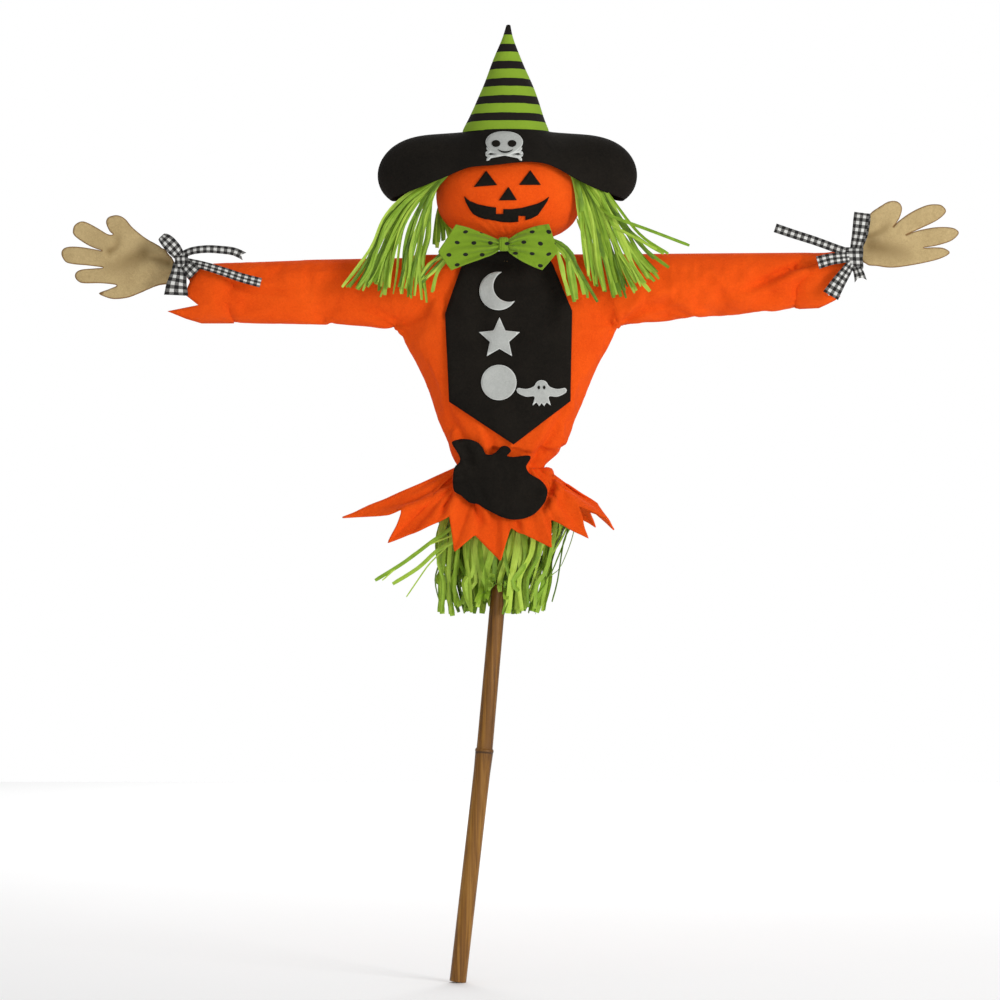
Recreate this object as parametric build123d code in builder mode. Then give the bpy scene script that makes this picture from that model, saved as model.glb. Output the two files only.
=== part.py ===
"""Scarecrow figure on a bamboo stake: a felt tunic on a cross of two canes, with a stuffed pumpkin
head, a witch's hat, felt hands tied on with gingham ribbon, and bunches of green raffia.

Millimetres. +Z is up, +X is to the right of somebody who faces the figure, and the figure faces -Y.
The origin is the middle of the stake's foot. "left" and "right" are the viewer's.
"""
import os
from math import atan2, cos, hypot, radians, sin, tan

from build123d import *

# ---- driving dimensions ----
FIGURE_X = 52.0  # the figure's middle stands this far to the right of the foot
FELT = 1.6  # thickness of the felt
GAP = 0.2  # between two pieces that lie on each other

# stake: a natural cane, which bends a little at each node
CANE_R = 8.75
CANE_TOP_R = 7.0
PITH_R = 2.5
PITH_DEPTH = 25.0
STAKE_BENDS = [(0.0, 0.0), (27.7, 241.0), (46.5, 452.0), (FIGURE_X, 655.0)]  # (x, z)
STAKE_TOP_Z = 852.0
NODE_RISE = 1.3  # how far the ridge at a node stands out
NODE_HALF = 3.0

# arm cane: lashed behind the stake, its right end a little higher
ARM_R = 5.0
ARM_Y = CANE_TOP_R + ARM_R + 0.8
ARM_Z = 750.0
ARM_TILT = 1.1
ARM_LEFT = -346.0  # from the figure's middle
ARM_RIGHT = 362.0
ARM_NODES = (-230.0, -60.0, 110.0, 260.0)

# head
HEAD_Z = 828.0
HEAD_HALF = (75.0, 55.0, 56.0)
NECK_R = 10.0
NECK_LOW = 764.0
BORE_R = CANE_TOP_R + 0.08

# hat
HAT_Z = 886.0  # where the cone meets the brim
CONE_R = 44.0
HAT_TOP_Z = 1000.0
BRIM_SIDE = 138.0  # width of the brim at the sides, measured along the felt
BRIM_FRONT = 35.0
BRIM_HALF = (135.0, 60.0)  # its half width and half depth seen from above

# tunic
SEAM_Y = 8.0  # the front and back panels are sewn together in this plane
WAIST_Z = 536.0
TORSO = [  # (z, half width, half depth)
    (WAIST_Z, 47.0, 27.0),
    (600.0, 82.0, 36.0),
    (690.0, 112.0, 34.0),
    (735.0, 114.0, 25.0),
    (760.5, 112.0, 14.0),
]
SLEEVE_HALF = (20.0, 36.0)  # half depth and half height of a sleeve
SLEEVE_DROP = 25.0  # the sleeve's middle hangs this far under the arm cane
WRIST_R = 8.8
NECK_HOLE_R = 24.0
HEM_DEPTH = 0.62  # the skirt reaches less far to the front and back than to the sides
# its hem: (angle round the waist from the front, reach outwards, drop) of each tip and notch
FRONT_HEM = [
    (-90, 127, 50), (-68, 82, 30), (-52, 92, 80), (-34, 55, 56), (-20, 52, 90), (-10, 42, 76),
    (2, 48, 98), (12, 36, 66), (26, 46, 86), (38, 36, 56), (52, 52, 74), (66, 40, 42), (90, 68, 64),
]
BACK_HEM = [
    (90, 68, 64), (104, 40, 40), (118, 60, 82), (134, 38, 60), (148, 50, 92), (164, 36, 66),
    (180, 50, 96), (196, 36, 66), (212, 52, 90), (228, 44, 58), (244, 78, 76), (256, 70, 34),
    (270, 127, 50),
]

# raffia skirt
RAFFIA_TOP_Z = 548.0
RAFFIA_LOW_Z = 388.0

# wrists: where the ribbon ties each hand to the arm cane
WRIST_LEFT = ARM_LEFT + 9.0
WRIST_RIGHT = ARM_RIGHT - 9.0
BAND_WIDTH = 15.0
HAND_THICK = 3.0
HINGE_LEFT = -348.3  # the fold at each wrist, from the figure's middle
HINGE_RIGHT = 364.5
RIBBON = 0.8

STANDING = (Align.CENTER, Align.CENTER, Align.MIN)  # a cylinder that stands on its base

os.makedirs("parts", exist_ok=True)


def finish(builder, name):
    """Labels a finished piece and writes it."""
    builder.part.label = name
    export_step(builder.part, f"parts/{name}.step")


def arm_z(u):
    """Height of the arm cane's middle at a distance u from the figure's middle."""
    return ARM_Z + u * tan(radians(ARM_TILT))


def at(u, y=0.0, z=0.0):
    """A point given from the figure's middle."""
    return (FIGURE_X + u, y, z)


# ---- canes ----
def cane_plane(start, end):
    """Sketch plane whose Y axis runs up the cane from start to end."""
    lean = atan2(end[0] - start[0], end[1] - start[1])
    return Plane(
        origin=(start[0], 0, start[1]), x_dir=(cos(lean), 0, -sin(lean)), z_dir=(0, -1, 0)
    )


def internode(start, end, r_low, r_high):
    """One length of cane. It swells towards the node in the last tenth of its length."""
    plane = cane_plane(start, end)
    length = hypot(end[0] - start[0], end[1] - start[1])
    with BuildPart() as cane:
        with BuildSketch(plane):
            with BuildLine():
                Polyline((r_low, 0), (r_high, length * 0.9), (r_high + 0.7, length))
                Polyline((r_high + 0.7, length), (0, length), (0, 0), (r_low, 0))
            make_face()
        revolve(axis=Axis((start[0], 0, start[1]), plane.y_dir))
    return cane.part


stake_points = [*STAKE_BENDS, (FIGURE_X, STAKE_TOP_Z)]
stake_radii = [CANE_R, CANE_R - 0.3, CANE_R - 0.8, CANE_TOP_R, CANE_TOP_R]
with BuildPart() as stake:
    for i in range(3):
        r_high = stake_radii[i + 1] if i else CANE_R
        add(internode(stake_points[i], stake_points[i + 1], stake_radii[i], r_high))
    with Locations((FIGURE_X, 0, STAKE_BENDS[3][1])):
        Cylinder(CANE_TOP_R, STAKE_TOP_Z - STAKE_BENDS[3][1], align=STANDING)
    for i in range(1, 4):
        ridge_plane = cane_plane(stake_points[i - 1], stake_points[i + 1])
        ridge_at = (stake_points[i][0], 0, stake_points[i][1])
        ridge_r = stake_radii[i] + NODE_RISE
        ridge_low, ridge_high = (ridge_r - 1.6, -NODE_HALF), (ridge_r - 1.9, NODE_HALF)
        with BuildSketch(Plane(origin=ridge_at, x_dir=ridge_plane.x_dir, z_dir=(0, -1, 0))):
            with BuildLine():
                Polyline(ridge_low, (0, -NODE_HALF), (0, NODE_HALF), ridge_high)
                ThreePointArc(ridge_low, (ridge_r, 0), ridge_high)
            make_face()
        revolve(axis=Axis(ridge_at, ridge_plane.y_dir))
    foot_plane = cane_plane(*stake_points[:2])
    with BuildSketch(Plane(origin=(0, 0, 0), z_dir=foot_plane.y_dir)):
        Circle(PITH_R)
    extrude(amount=PITH_DEPTH, mode=Mode.SUBTRACT)
finish(stake, "stake")

arm_direction = (cos(radians(ARM_TILT)), 0, sin(radians(ARM_TILT)))
arm_plane = Plane(origin=at(0, ARM_Y, ARM_Z), z_dir=arm_direction)
with BuildPart() as arm_cane:
    with BuildSketch(arm_plane.offset(ARM_LEFT)):
        Circle(ARM_R)
    extrude(amount=ARM_RIGHT - ARM_LEFT)
    for u in ARM_NODES:
        with BuildSketch(arm_plane.offset(u - 2)):
            Circle(ARM_R + 0.5)
        extrude(amount=4)
finish(arm_cane, "arm_cane")

LASH_R = 1.0
LASH_Y = (ARM_Y + ARM_R - CANE_TOP_R) / 2
LASH_DEPTH = ARM_Y + ARM_R + CANE_TOP_R + 2 * LASH_R + 0.6
with BuildPart() as cross_lashing:
    for turn, lean in ((0, 45), (1, -45)):
        across = 26.0 + 3.8 * turn
        lash_deep = LASH_DEPTH + 3.8 * turn
        for side in (-0.95, 0.95):
            lash_plane = Plane(
                origin=at(0, LASH_Y, ARM_Z),
                x_dir=(cos(radians(lean)), 0, sin(radians(lean))),
                z_dir=(-sin(radians(lean)), 0, cos(radians(lean))),
            ).offset(side)
            with BuildLine(lash_plane) as lash_path:
                FilletPolyline(
                    (-across / 2, -lash_deep / 2),
                    (-across / 2, lash_deep / 2),
                    (across / 2, lash_deep / 2),
                    (across / 2, -lash_deep / 2),
                    radius=9,
                    close=True,
                )
            with BuildSketch(Plane(origin=lash_path.line @ 0, z_dir=lash_path.line % 0)):
                Circle(LASH_R)
            sweep(path=lash_path.line)
finish(cross_lashing, "cross_lashing")


# ---- head ----
def head_body(grow):
    """The head's oval, grown by that much all round."""
    half = tuple(h + grow for h in HEAD_HALF)
    with BuildPart() as oval:
        Sphere(1)
        scale(by=half)
    return oval.part.moved(Location(at(0, 0, HEAD_Z)))


with BuildPart() as head_cover:
    add(head_body(0))
    with Locations(at(0, 0, NECK_LOW)):
        Cylinder(NECK_R, 14, align=STANDING)
    add(head_body(-FELT), mode=Mode.SUBTRACT)
    with Locations(at(0, 0, NECK_LOW - 1)):
        Cylinder(BORE_R, 60, align=STANDING, mode=Mode.SUBTRACT)
for name, keep in (("head_front", Keep.BOTTOM), ("head_back", Keep.TOP)):
    with BuildPart() as panel:
        add(head_cover.part)
        split(bisect_by=Plane(origin=(0, 0, 0), z_dir=(0, 1, 0)), keep=keep)
    finish(panel, name)

with BuildPart() as head_filling:
    add(head_body(-FELT - GAP))
    with Locations(at(0, 0, NECK_LOW)):
        Cylinder(BORE_R, STAKE_TOP_Z - NECK_LOW + 1, align=STANDING, mode=Mode.SUBTRACT)
finish(head_filling, "head_filling")

with BuildPart() as neck_string:
    for z in (NECK_LOW + 4.6, NECK_LOW + 6.3):
        with Locations(at(0, 0, z)):
            Torus(NECK_R + 1.1, 0.9)
finish(neck_string, "neck_string")

FACE_PLANE = Plane(origin=at(0, 0, 0), x_dir=(1, 0, 0), z_dir=(0, -1, 0))
FACE = {
    "eye_left": [(-22.4, 847.3), (-34.9, 830.5), (-11.2, 832.4)],
    "eye_right": [(23.4, 847.3), (12.0, 833.0), (34.2, 832.2)],
    "nose": [(0.2, 830.5), (-9.3, 816.6), (9.6, 816.8)],
}
FACE_FELT = 1.0
for name, corners in FACE.items():
    with BuildPart() as feature:
        with BuildSketch(FACE_PLANE):
            Polygon(*corners, align=None)
        extrude(amount=HEAD_HALF[1] + 10)
        add(head_body(GAP + FACE_FELT), mode=Mode.INTERSECT)
        add(head_body(GAP), mode=Mode.SUBTRACT)
    finish(feature, name)

MOUTH_TIPS = ((-45.0, 819.4), (43.5, 819.8))
with BuildPart() as mouth:
    with BuildSketch(FACE_PLANE):
        with BuildLine():
            ThreePointArc(MOUTH_TIPS[0], (0, 806.6), MOUTH_TIPS[1])
            ThreePointArc(MOUTH_TIPS[1], (0.6, 793.0), MOUTH_TIPS[0])
        make_face()
        with Locations((-8.3, 806.2)):
            Rectangle(7.6, 9.6, mode=Mode.SUBTRACT)
        with Locations((14.5, 795.6)):
            Rectangle(8.0, 9.6, mode=Mode.SUBTRACT)
    extrude(amount=HEAD_HALF[1] + 10)
    add(head_body(GAP + FACE_FELT), mode=Mode.INTERSECT)
    add(head_body(GAP), mode=Mode.SUBTRACT)
finish(mouth, "mouth")

# ---- hat ----
CONE_PROFILE = [(CONE_R, 0.0), (33.0, 29.0), (18.8, 61.0), (8.2, 92.0), (2.0, HAT_TOP_Z - HAT_Z)]
CONE_INSIDE = [(0, CONE_PROFILE[-1][1] - 12), *[(r - FELT, z - 1) for r, z in CONE_PROFILE[-2:0:-1]]]
with BuildPart() as hat_cone:
    with BuildSketch(Plane(origin=at(0, 0, HAT_Z + GAP), x_dir=(1, 0, 0), z_dir=(0, -1, 0))):
        with BuildLine():
            Spline(*CONE_PROFILE)
            Line(CONE_PROFILE[-1], (0, CONE_PROFILE[-1][1]))
            Line((0, CONE_PROFILE[-1][1]), CONE_INSIDE[0])
            Spline(*CONE_INSIDE, (CONE_R - FELT, 0))
            Line((CONE_R - FELT, 0), CONE_PROFILE[0])
        make_face()
    revolve(axis=Axis(at(0, 0, 0), (0, 0, 1)))
finish(hat_cone, "hat_cone")


def brim_side(angle):
    """How far round from the front (0) to the side (1) an angle is, on the brim's oval."""
    half_width, half_depth = BRIM_HALF
    reach = 1 / hypot(sin(radians(angle)) / half_width, cos(radians(angle)) / half_depth)
    return max(0.0, (reach - half_depth) / (half_width - half_depth)) ** 1.15


def brim_line(angle, lift=0.0):
    """Points down the brim at an angle from the front, lifted off the felt's top by that much."""
    side = brim_side(angle)
    width = BRIM_FRONT + (BRIM_SIDE - BRIM_FRONT) * side
    steps = 24
    r, z, line = CONE_R - FELT, HAT_Z, []
    for k in range(steps + 1):
        share = max(0.0, (k / steps - 0.2) / 0.8)
        front_slope = 60 - 22 * side
        wing_slope = 4 + 122 * share**1.5
        slope = radians(front_slope + (wing_slope - front_slope) * side)
        if k % 4 == 0:
            out, up = r + lift * sin(slope), z + lift * cos(slope)
            line.append((FIGURE_X + out * sin(radians(angle)), -out * cos(radians(angle)), up))
        r += width / steps * cos(slope)
        z -= width / steps * sin(slope)
    return line


def brim_solid(low, high, first, last, count):
    """Felt between two lifts off the brim's top, from one angle to another."""
    faces = []
    for k in range(count):
        angle = first + (last - first) * k / (count - 1)
        top, under = brim_line(angle, high), brim_line(angle, low)
        edges = [
            Edge.make_spline([Vector(*p) for p in top]),
            Edge.make_line(top[-1], under[-1]),
            Edge.make_spline([Vector(*p) for p in reversed(under)]),
            Edge.make_line(under[0], top[0]),
        ]
        faces.append(Face(Wire(edges)))
    return loft(faces)


with BuildPart() as hat_brim:
    half_brim = brim_solid(-FELT, 0, 0, 180, 13)
    add(half_brim)
    add(half_brim.mirror(Plane(origin=at(0), z_dir=(1, 0, 0))))
finish(hat_brim, "hat_brim")

# the badge on the brim: a plain skull over crossed bones
BADGE_Z = 874.4
with BuildPart() as badge_shape:
    with BuildSketch(FACE_PLANE.offset(30)):
        with Locations((-2.5, BADGE_Z)):
            Ellipse(18.0, 9.5)
        with Locations((-2.5, BADGE_Z - 8)):
            Rectangle(19, 8)
        for lean in (-22, 22):
            with BuildSketch(mode=Mode.PRIVATE) as bone:
                SlotCenterToCenter(34, 3.4, rotation=lean)
            add(bone.sketch.moved(Location((-2.5, BADGE_Z - 9.2, 0))))
        with Locations((-11.5, BADGE_Z - 1), (6.5, BADGE_Z - 1)):
            Ellipse(4.4, 3.3, mode=Mode.SUBTRACT)
    extrude(amount=60)
with BuildPart() as hat_badge:
    add(brim_solid(GAP, GAP + 0.8, -38, 38, 9))
    add(badge_shape.part, mode=Mode.INTERSECT)
finish(hat_badge, "hat_badge")


# ---- raffia bunches: each is a plain fan, narrow where it is tied ----
def fan(name, stations):
    """A bunch lofted through ovals, each given as (u, y, z, half width, half depth)."""
    with BuildPart() as bunch:
        for i, (u, y, z, half_width, half_depth) in enumerate(stations):
            before, after = stations[max(i - 1, 0)], stations[min(i + 1, len(stations) - 1)]
            along = Vector(after[0] - before[0], after[1] - before[1], after[2] - before[2])
            side = Vector(0, 1, 0).cross(along)
            with BuildSketch(Plane(origin=at(u, y, z), x_dir=side, z_dir=along)):
                Ellipse(half_width, half_depth)
        loft()
    finish(bunch, name)


HAIR_LEFT = [(-76, -22, 838, 6, 7), (-98, -32, 798, 21, 9), (-114, -38, 762, 31, 9), (-124, -44, 716, 40, 8)]
HAIR_RIGHT = [(76, -22, 838, 6, 7), (96, -32, 798, 21, 9), (114, -38, 762, 31, 9), (128, -44, 716, 41, 8)]
fan("hair_left", HAIR_LEFT)
fan("hair_right", HAIR_RIGHT)
for name, u in (("hair_knot_left", -70.0), ("hair_knot_right", 70.0)):
    with BuildPart() as hair_knot:
        with Locations(at(u, -22, 849)):
            Sphere(4.5)
    finish(hair_knot, name)
fan("collar_raffia_left", [(-30, -34, 768, 5, 3), (-52, -37, 748, 11, 3), (-64, -38, 716, 14, 3)])
fan("collar_raffia_right", [(30, -34, 768, 5, 3), (52, -37, 748, 11, 3), (66, -38, 716, 14, 3)])


# ---- tunic ----
def torso(grow, top=0.0, low=0.0):
    """The torso's shape, grown by that much, with its top and bottom moved."""
    with BuildPart() as shape:
        for i, (z, half_width, half_depth) in enumerate(TORSO):
            shift = (low if i == 0 else 0.0) + (top if i == len(TORSO) - 1 else 0.0)
            if i == 0:
                half_width += low * 0.55
                half_depth += low * 0.14
            tilt = radians(ARM_TILT) if z > ARM_Z - 20 else 0.0
            level = Plane(origin=at(0, SEAM_Y, z + shift), z_dir=(-sin(tilt), 0, cos(tilt)))
            with BuildSketch(level):
                Ellipse(half_width + grow, half_depth + grow)
        loft()
    return shape.part


def sleeve(side, grow, past=0.0):
    """A sleeve from inside the torso to its wrist. past lengthens it beyond the wrist."""
    wrist = WRIST_LEFT if side < 0 else WRIST_RIGHT
    stations = [
        (60.0 * side, SLEEVE_HALF, SLEEVE_DROP),
        (wrist - 40 * side, SLEEVE_HALF, SLEEVE_DROP),
        (wrist - 24 * side, (17.0, 30.0), SLEEVE_DROP - 7),
        (wrist - (8 - past) * side, (WRIST_R, WRIST_R), 0.0),
    ]
    with BuildPart() as shape:
        for u, (half_depth, half_height), drop in stations:
            centre = at(u, SEAM_Y if drop else ARM_Y, arm_z(u) - drop)
            with BuildSketch(Plane(origin=centre, x_dir=(0, 1, 0), z_dir=(1, 0, 0))):
                Ellipse(half_depth + grow, half_height + grow)
        loft(ruled=True)
    return shape.part


def hem_sections(hem):
    """Thin upright faces down the skirt, one at each tip and notch of its hem."""
    faces = []
    for angle, reach, drop in hem:
        outward = Vector(sin(radians(angle)), -HEM_DEPTH * cos(radians(angle)), 0)
        waist = Vector(*at(46.2 * sin(radians(angle)), SEAM_Y - 26.2 * cos(radians(angle)), WAIST_Z - 0.5))
        tip = waist + outward * reach - Vector(0, 0, drop)
        normal = Vector(outward.X * drop, outward.Y * drop, reach).normalized() * FELT
        middle = waist + (tip - waist) * 0.5 + normal * 3.0
        faces.append(
            Face(
                Wire(
                    [
                        Edge.make_line(waist, middle),
                        Edge.make_line(middle, tip),
                        Edge.make_line(tip, tip - normal),
                        Edge.make_line(tip - normal, middle - normal),
                        Edge.make_line(middle - normal, waist - normal),
                        Edge.make_line(waist - normal, waist),
                    ]
                )
            )
        )
    return faces


with BuildPart() as tunic:
    add(torso(0))
    add(sleeve(-1, 0))
    add(sleeve(1, 0))
    add(torso(-FELT, top=-FELT, low=-4))
    add(torso(-FELT, top=-FELT, low=-4), mode=Mode.SUBTRACT)
    for side in (-1, 1):
        add(sleeve(side, -FELT, past=4), mode=Mode.SUBTRACT)
    with Locations(at(0, 4, WAIST_Z + 190)):
        Cylinder(NECK_HOLE_R, 60, align=STANDING, mode=Mode.SUBTRACT)
for name, keep in (("tunic_front", Keep.BOTTOM), ("tunic_back", Keep.TOP)):
    with BuildPart() as panel:
        add(tunic.part)
        split(bisect_by=Plane(origin=(0, SEAM_Y, 0), z_dir=(0, 1, 0)), keep=keep)
    finish(panel, name)

# the same felt goes on below the string as a short skirt
for name, hem in (("hem_front", FRONT_HEM), ("hem_back", BACK_HEM)):
    with BuildPart() as panel:
        add(loft(hem_sections(hem), ruled=True))
    finish(panel, name)

with BuildPart() as waist_string:
    for z in (WAIST_Z + 2.1, WAIST_Z + 3.8):
        with BuildLine(Plane.XY.offset(z)) as waist_path:
            EllipticalCenterArc((FIGURE_X, SEAM_Y), 50.2, 30.2, arc_size=360)
        with BuildSketch(Plane(origin=waist_path.line @ 0, z_dir=waist_path.line % 0)):
            Circle(0.9)
        sweep(path=waist_path.line)
finish(waist_string, "waist_string")

# ---- bib, its motifs and the patch at the waist ----
BIB_FELT = 1.2
MOTIF_FELT = 0.6
BIB_LOW = GAP
BIB_HIGH = BIB_LOW + BIB_FELT
MOTIF_LOW = BIB_HIGH + GAP
MOTIF_HIGH = MOTIF_LOW + MOTIF_FELT
BIB = [
    (-48.7, 745.6), (-65.4, 697.6), (-61, 605.7), (6.1, 561.2), (65.5, 606.4), (67.3, 700.8), (47.4, 748.9),
]

with BuildPart() as bib_panel:
    with BuildSketch(FACE_PLANE):
        Polygon(*BIB, align=None)
    extrude(amount=60)
    add(torso(BIB_HIGH), mode=Mode.INTERSECT)
    add(torso(BIB_LOW), mode=Mode.SUBTRACT)
finish(bib_panel, "bib_panel")

with BuildPart() as bib_moon:
    with BuildSketch(FACE_PLANE):
        with Locations((-9.6, 721.4)):
            Circle(20)
        with Locations((1.5, 726.5)):
            Circle(16.5, mode=Mode.SUBTRACT)
    extrude(amount=60)
    add(torso(MOTIF_HIGH), mode=Mode.INTERSECT)
    add(torso(MOTIF_LOW), mode=Mode.SUBTRACT)
finish(bib_moon, "bib_moon")

with BuildPart() as bib_star:
    with BuildSketch(FACE_PLANE):
        with Locations((-8.6, 671.5)):
            star = [
                (r * sin(radians(36 * k)), r * cos(radians(36 * k)))
                for k, r in enumerate([22.5, 10.5] * 5)
            ]
            Polygon(*star, align=None)
    extrude(amount=60)
    add(torso(MOTIF_HIGH), mode=Mode.INTERSECT)
    add(torso(MOTIF_LOW), mode=Mode.SUBTRACT)
finish(bib_star, "bib_star")

with BuildPart() as bib_disc:
    with BuildSketch(FACE_PLANE):
        with Locations((-9.2, 625.6)):
            Circle(18.5)
    extrude(amount=60)
    add(torso(MOTIF_HIGH), mode=Mode.INTERSECT)
    add(torso(MOTIF_LOW), mode=Mode.SUBTRACT)
finish(bib_disc, "bib_disc")

with BuildPart() as bib_ghost:
    with BuildSketch(FACE_PLANE):
        with BuildLine():
            Spline((24, 604), (28, 613), (36, 624), (44, 624), (50, 613), (54, 604))
            Spline((54, 604), (49, 600), (46, 605), (40, 600), (36, 605), (30, 600), (24, 604))
        make_face()
        with Locations(Location((30, 612, 0), (0, 0, 25)), Location((48, 612, 0), (0, 0, -25))):
            SlotCenterToCenter(14, 5)
    extrude(amount=60)
    add(torso(MOTIF_HIGH), mode=Mode.INTERSECT)
    add(torso(MOTIF_LOW), mode=Mode.SUBTRACT)
finish(bib_ghost, "bib_ghost")

PATCH = [
    (-58, 563), (-47, 566), (-37, 565.7), (-30, 562.4), (-25.6, 556.5), (-18, 550), (-11, 556.5),
    (-6, 559), (0, 559), (4, 554), (-1, 549), (21.3, 549.6), (24, 546.8), (20, 538), (24, 530),
    (34.4, 523.4), (40.5, 516), (41.6, 510), (39, 501.8), (32, 492), (22, 485.6), (10.5, 482.7),
    (-1.5, 483.8), (-13.5, 488.6), (-24, 494.6), (-31.5, 498.9), (-39, 500), (-49.5, 508.4),
    (-57.6, 515), (-55.6, 536.6), (-50, 542.7), (-54, 557.6),
]
PATCH_FALL = [(28.4, 568.0), (26.4, 540.0), (28.4, 526.0), (46.0, 480.0)]  # (out, z) down its face
with BuildPart() as waist_patch:
    with BuildSketch(FACE_PLANE):
        Polygon(*PATCH, align=None)
    extrude(amount=60)
    with BuildSketch(Plane(origin=at(-80), x_dir=(0, -1, 0), z_dir=(-1, 0, 0))):
        with BuildLine():
            patch_fall = Polyline(*[(out, z) for out, z in PATCH_FALL])
            offset(patch_fall, amount=BIB_FELT / 2)
        make_face()
    extrude(amount=-160, mode=Mode.INTERSECT)
finish(waist_patch, "waist_patch")

# ---- raffia skirt ----
RAFFIA_BORE_R = 13.0  # clears the stake, which bends a little inside the bunch
BORE_LOW = Vector(41.5, 0, 375)
BORE_HIGH = Vector(50.5, 0, 565)
RAFFIA = [(RAFFIA_TOP_Z, 0, 30, 16), (480, -3, 50, 21), (RAFFIA_LOW_Z, -12, 66, 24)]
with BuildPart() as raffia_skirt:
    for z, u, half_width, half_depth in RAFFIA:
        with BuildSketch(Plane.XY.offset(z)):
            with Locations((FIGURE_X + u, 5)):
                Ellipse(half_width, half_depth)
    loft()
    with Locations(Plane(origin=BORE_LOW, z_dir=BORE_HIGH - BORE_LOW)):
        Cylinder(RAFFIA_BORE_R, 190, align=STANDING, mode=Mode.SUBTRACT)
finish(raffia_skirt, "raffia_skirt")

with BuildPart() as skirt_binding:
    with BuildLine(Plane.XY.offset(RAFFIA_TOP_Z - 5)) as binding_path:
        EllipticalCenterArc((FIGURE_X, 5), 33.4, 18.8, arc_size=360)
    with BuildSketch(Plane(origin=binding_path.line @ 0, z_dir=binding_path.line % 0)):
        Circle(1.0)
    sweep(path=binding_path.line)
finish(skirt_binding, "skirt_binding")

# ---- bow ----
BOW_Y = 43.2  # the back of the bow is this far in front of the stake, clear of the head as it turns
BOW_Z = 769.0
WINGS = {
    "bow_wing_left": [
        (-10, 776), (-16, 782.6), (-29, 787), (-41, 789.7), (-55.4, 790.7), (-73, 763),
        (-58.6, 743), (-47, 746.4), (-29, 752), (-16, 757), (-10, 764),
    ],
    "bow_wing_right": [
        (1.8, 776), (12.7, 784), (27, 789.7), (41.6, 791.5), (52, 780), (54, 763),
        (48.8, 751), (36.4, 743), (27, 747), (12.7, 753.6), (1.8, 762),
    ],
}
for name, outline in WINGS.items():
    with BuildPart() as wing:
        with BuildSketch(FACE_PLANE.offset(BOW_Y)):
            Polygon(*outline, align=None)
        extrude(amount=4.5)
    finish(wing, name)

with BuildPart() as bow_knot:
    with BuildSketch(FACE_PLANE.offset(BOW_Y - 1)):
        with Locations((-4.1, BOW_Z + 1)):
            RectangleRounded(11.2, 15, 3)
    extrude(amount=9)
finish(bow_knot, "bow_knot")

with BuildPart() as bow_band:
    with BuildSketch(Plane.XY.offset(BOW_Z - 4.5)):
        with BuildLine():
            Line(at(-7, -BOW_Y + 1.2)[:2], at(-12.6, -6)[:2])
            ThreePointArc(at(-12.6, -6)[:2], at(0, 14)[:2], at(12.6, -6)[:2])
            Line(at(12.6, -6)[:2], at(-1.5, -BOW_Y + 1.2)[:2])
            Line(at(-1.5, -BOW_Y + 1.2)[:2], at(-7, -BOW_Y + 1.2)[:2])
        make_face()
        offset(amount=-0.8, mode=Mode.SUBTRACT)
    extrude(amount=5)
finish(bow_band, "bow_band")


# ---- hands and the ribbons that tie them on ----
HANDS = {
    "left": [
        (HINGE_LEFT, 755), (-360.6, 766), (-378, 776.4), (-392, 788), (-408, 800.6), (-419.5, 792.7),
        (-413, 780), (-423, 785), (-443, 794), (-454.1, 785.8), (-452.4, 778.9),
        (-424, 763.3), (-456.7, 767.7), (-466.2, 759.8), (-454.1, 749.5), (-423, 745.9),
        (-445.4, 743.7), (-451.9, 735.6), (-442, 729.5), (-409, 727.4), (-426.9, 719),
        (-410.9, 713), (-384.8, 719), (-365, 727), (HINGE_LEFT, 731.3),
    ],
    "right": [
        (HINGE_RIGHT, 764), (377.8, 801), (398.6, 814.9), (407.5, 814.6), (412, 808), (402.7, 788.2),
        (418.7, 801.8), (439.5, 811.4), (453.9, 810.6), (457.9, 804.2), (431.4, 786.7),
        (416.3, 780), (434.7, 785.9), (461.8, 787.9), (471.1, 781.1), (463.4, 773.8),
        (434.7, 766.6), (455.5, 766.2), (461.8, 761.1), (450.6, 754.7), (426.6, 749.1),
        (402.7, 745.9), (385, 747.8), (HINGE_RIGHT, 746),
    ],
}
for side, outline in HANDS.items():
    with BuildPart() as hand:
        with BuildSketch(FACE_PLANE.offset(-ARM_Y - HAND_THICK / 2)):
            Polygon(*outline, align=None)
        extrude(amount=HAND_THICK)
        fold_low, fold_high = outline[-1][1], outline[0][1]
        with Locations(at(outline[0][0], ARM_Y, fold_low)):
            Cylinder(HAND_THICK / 2, fold_high - fold_low, align=STANDING)
    finish(hand, f"hand_{side}")

for side, end in (("left", ARM_LEFT), ("right", ARM_RIGHT)):
    sign = 1 if side == "left" else -1
    rings = {"hand_tab": (ARM_R + 0.15, 0.9, 1.0), "ribbon_band": (ARM_R + 1.25, RIBBON, 1.5)}
    for name, (r, thick, inset) in rings.items():
        with BuildPart() as ring:
            with BuildSketch(arm_plane.offset(end + sign * inset)):
                Circle(r + thick)
                Circle(r, mode=Mode.SUBTRACT)
            extrude(amount=sign * BAND_WIDTH)
        finish(ring, f"{name}_{side}")

KNOT_BACK = -ARM_Y + ARM_R + 2.3  # how far in front of the stake the ribbon's knots begin
KNOTS = {  # (u, z, width, height, depth)
    "ribbon_knot_left": (-341, 751.5, 13, 15, 18.5),
    "ribbon_knot_right": (361, 755, 17, 22, 20.5),
}
for name, (u, z, width, height, deep) in KNOTS.items():
    with BuildPart() as knot:
        with BuildSketch(FACE_PLANE.offset(KNOT_BACK)):
            with Locations((u, z)):
                RectangleRounded(width, height, 4)
        extrude(amount=deep)
    finish(knot, name)

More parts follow.
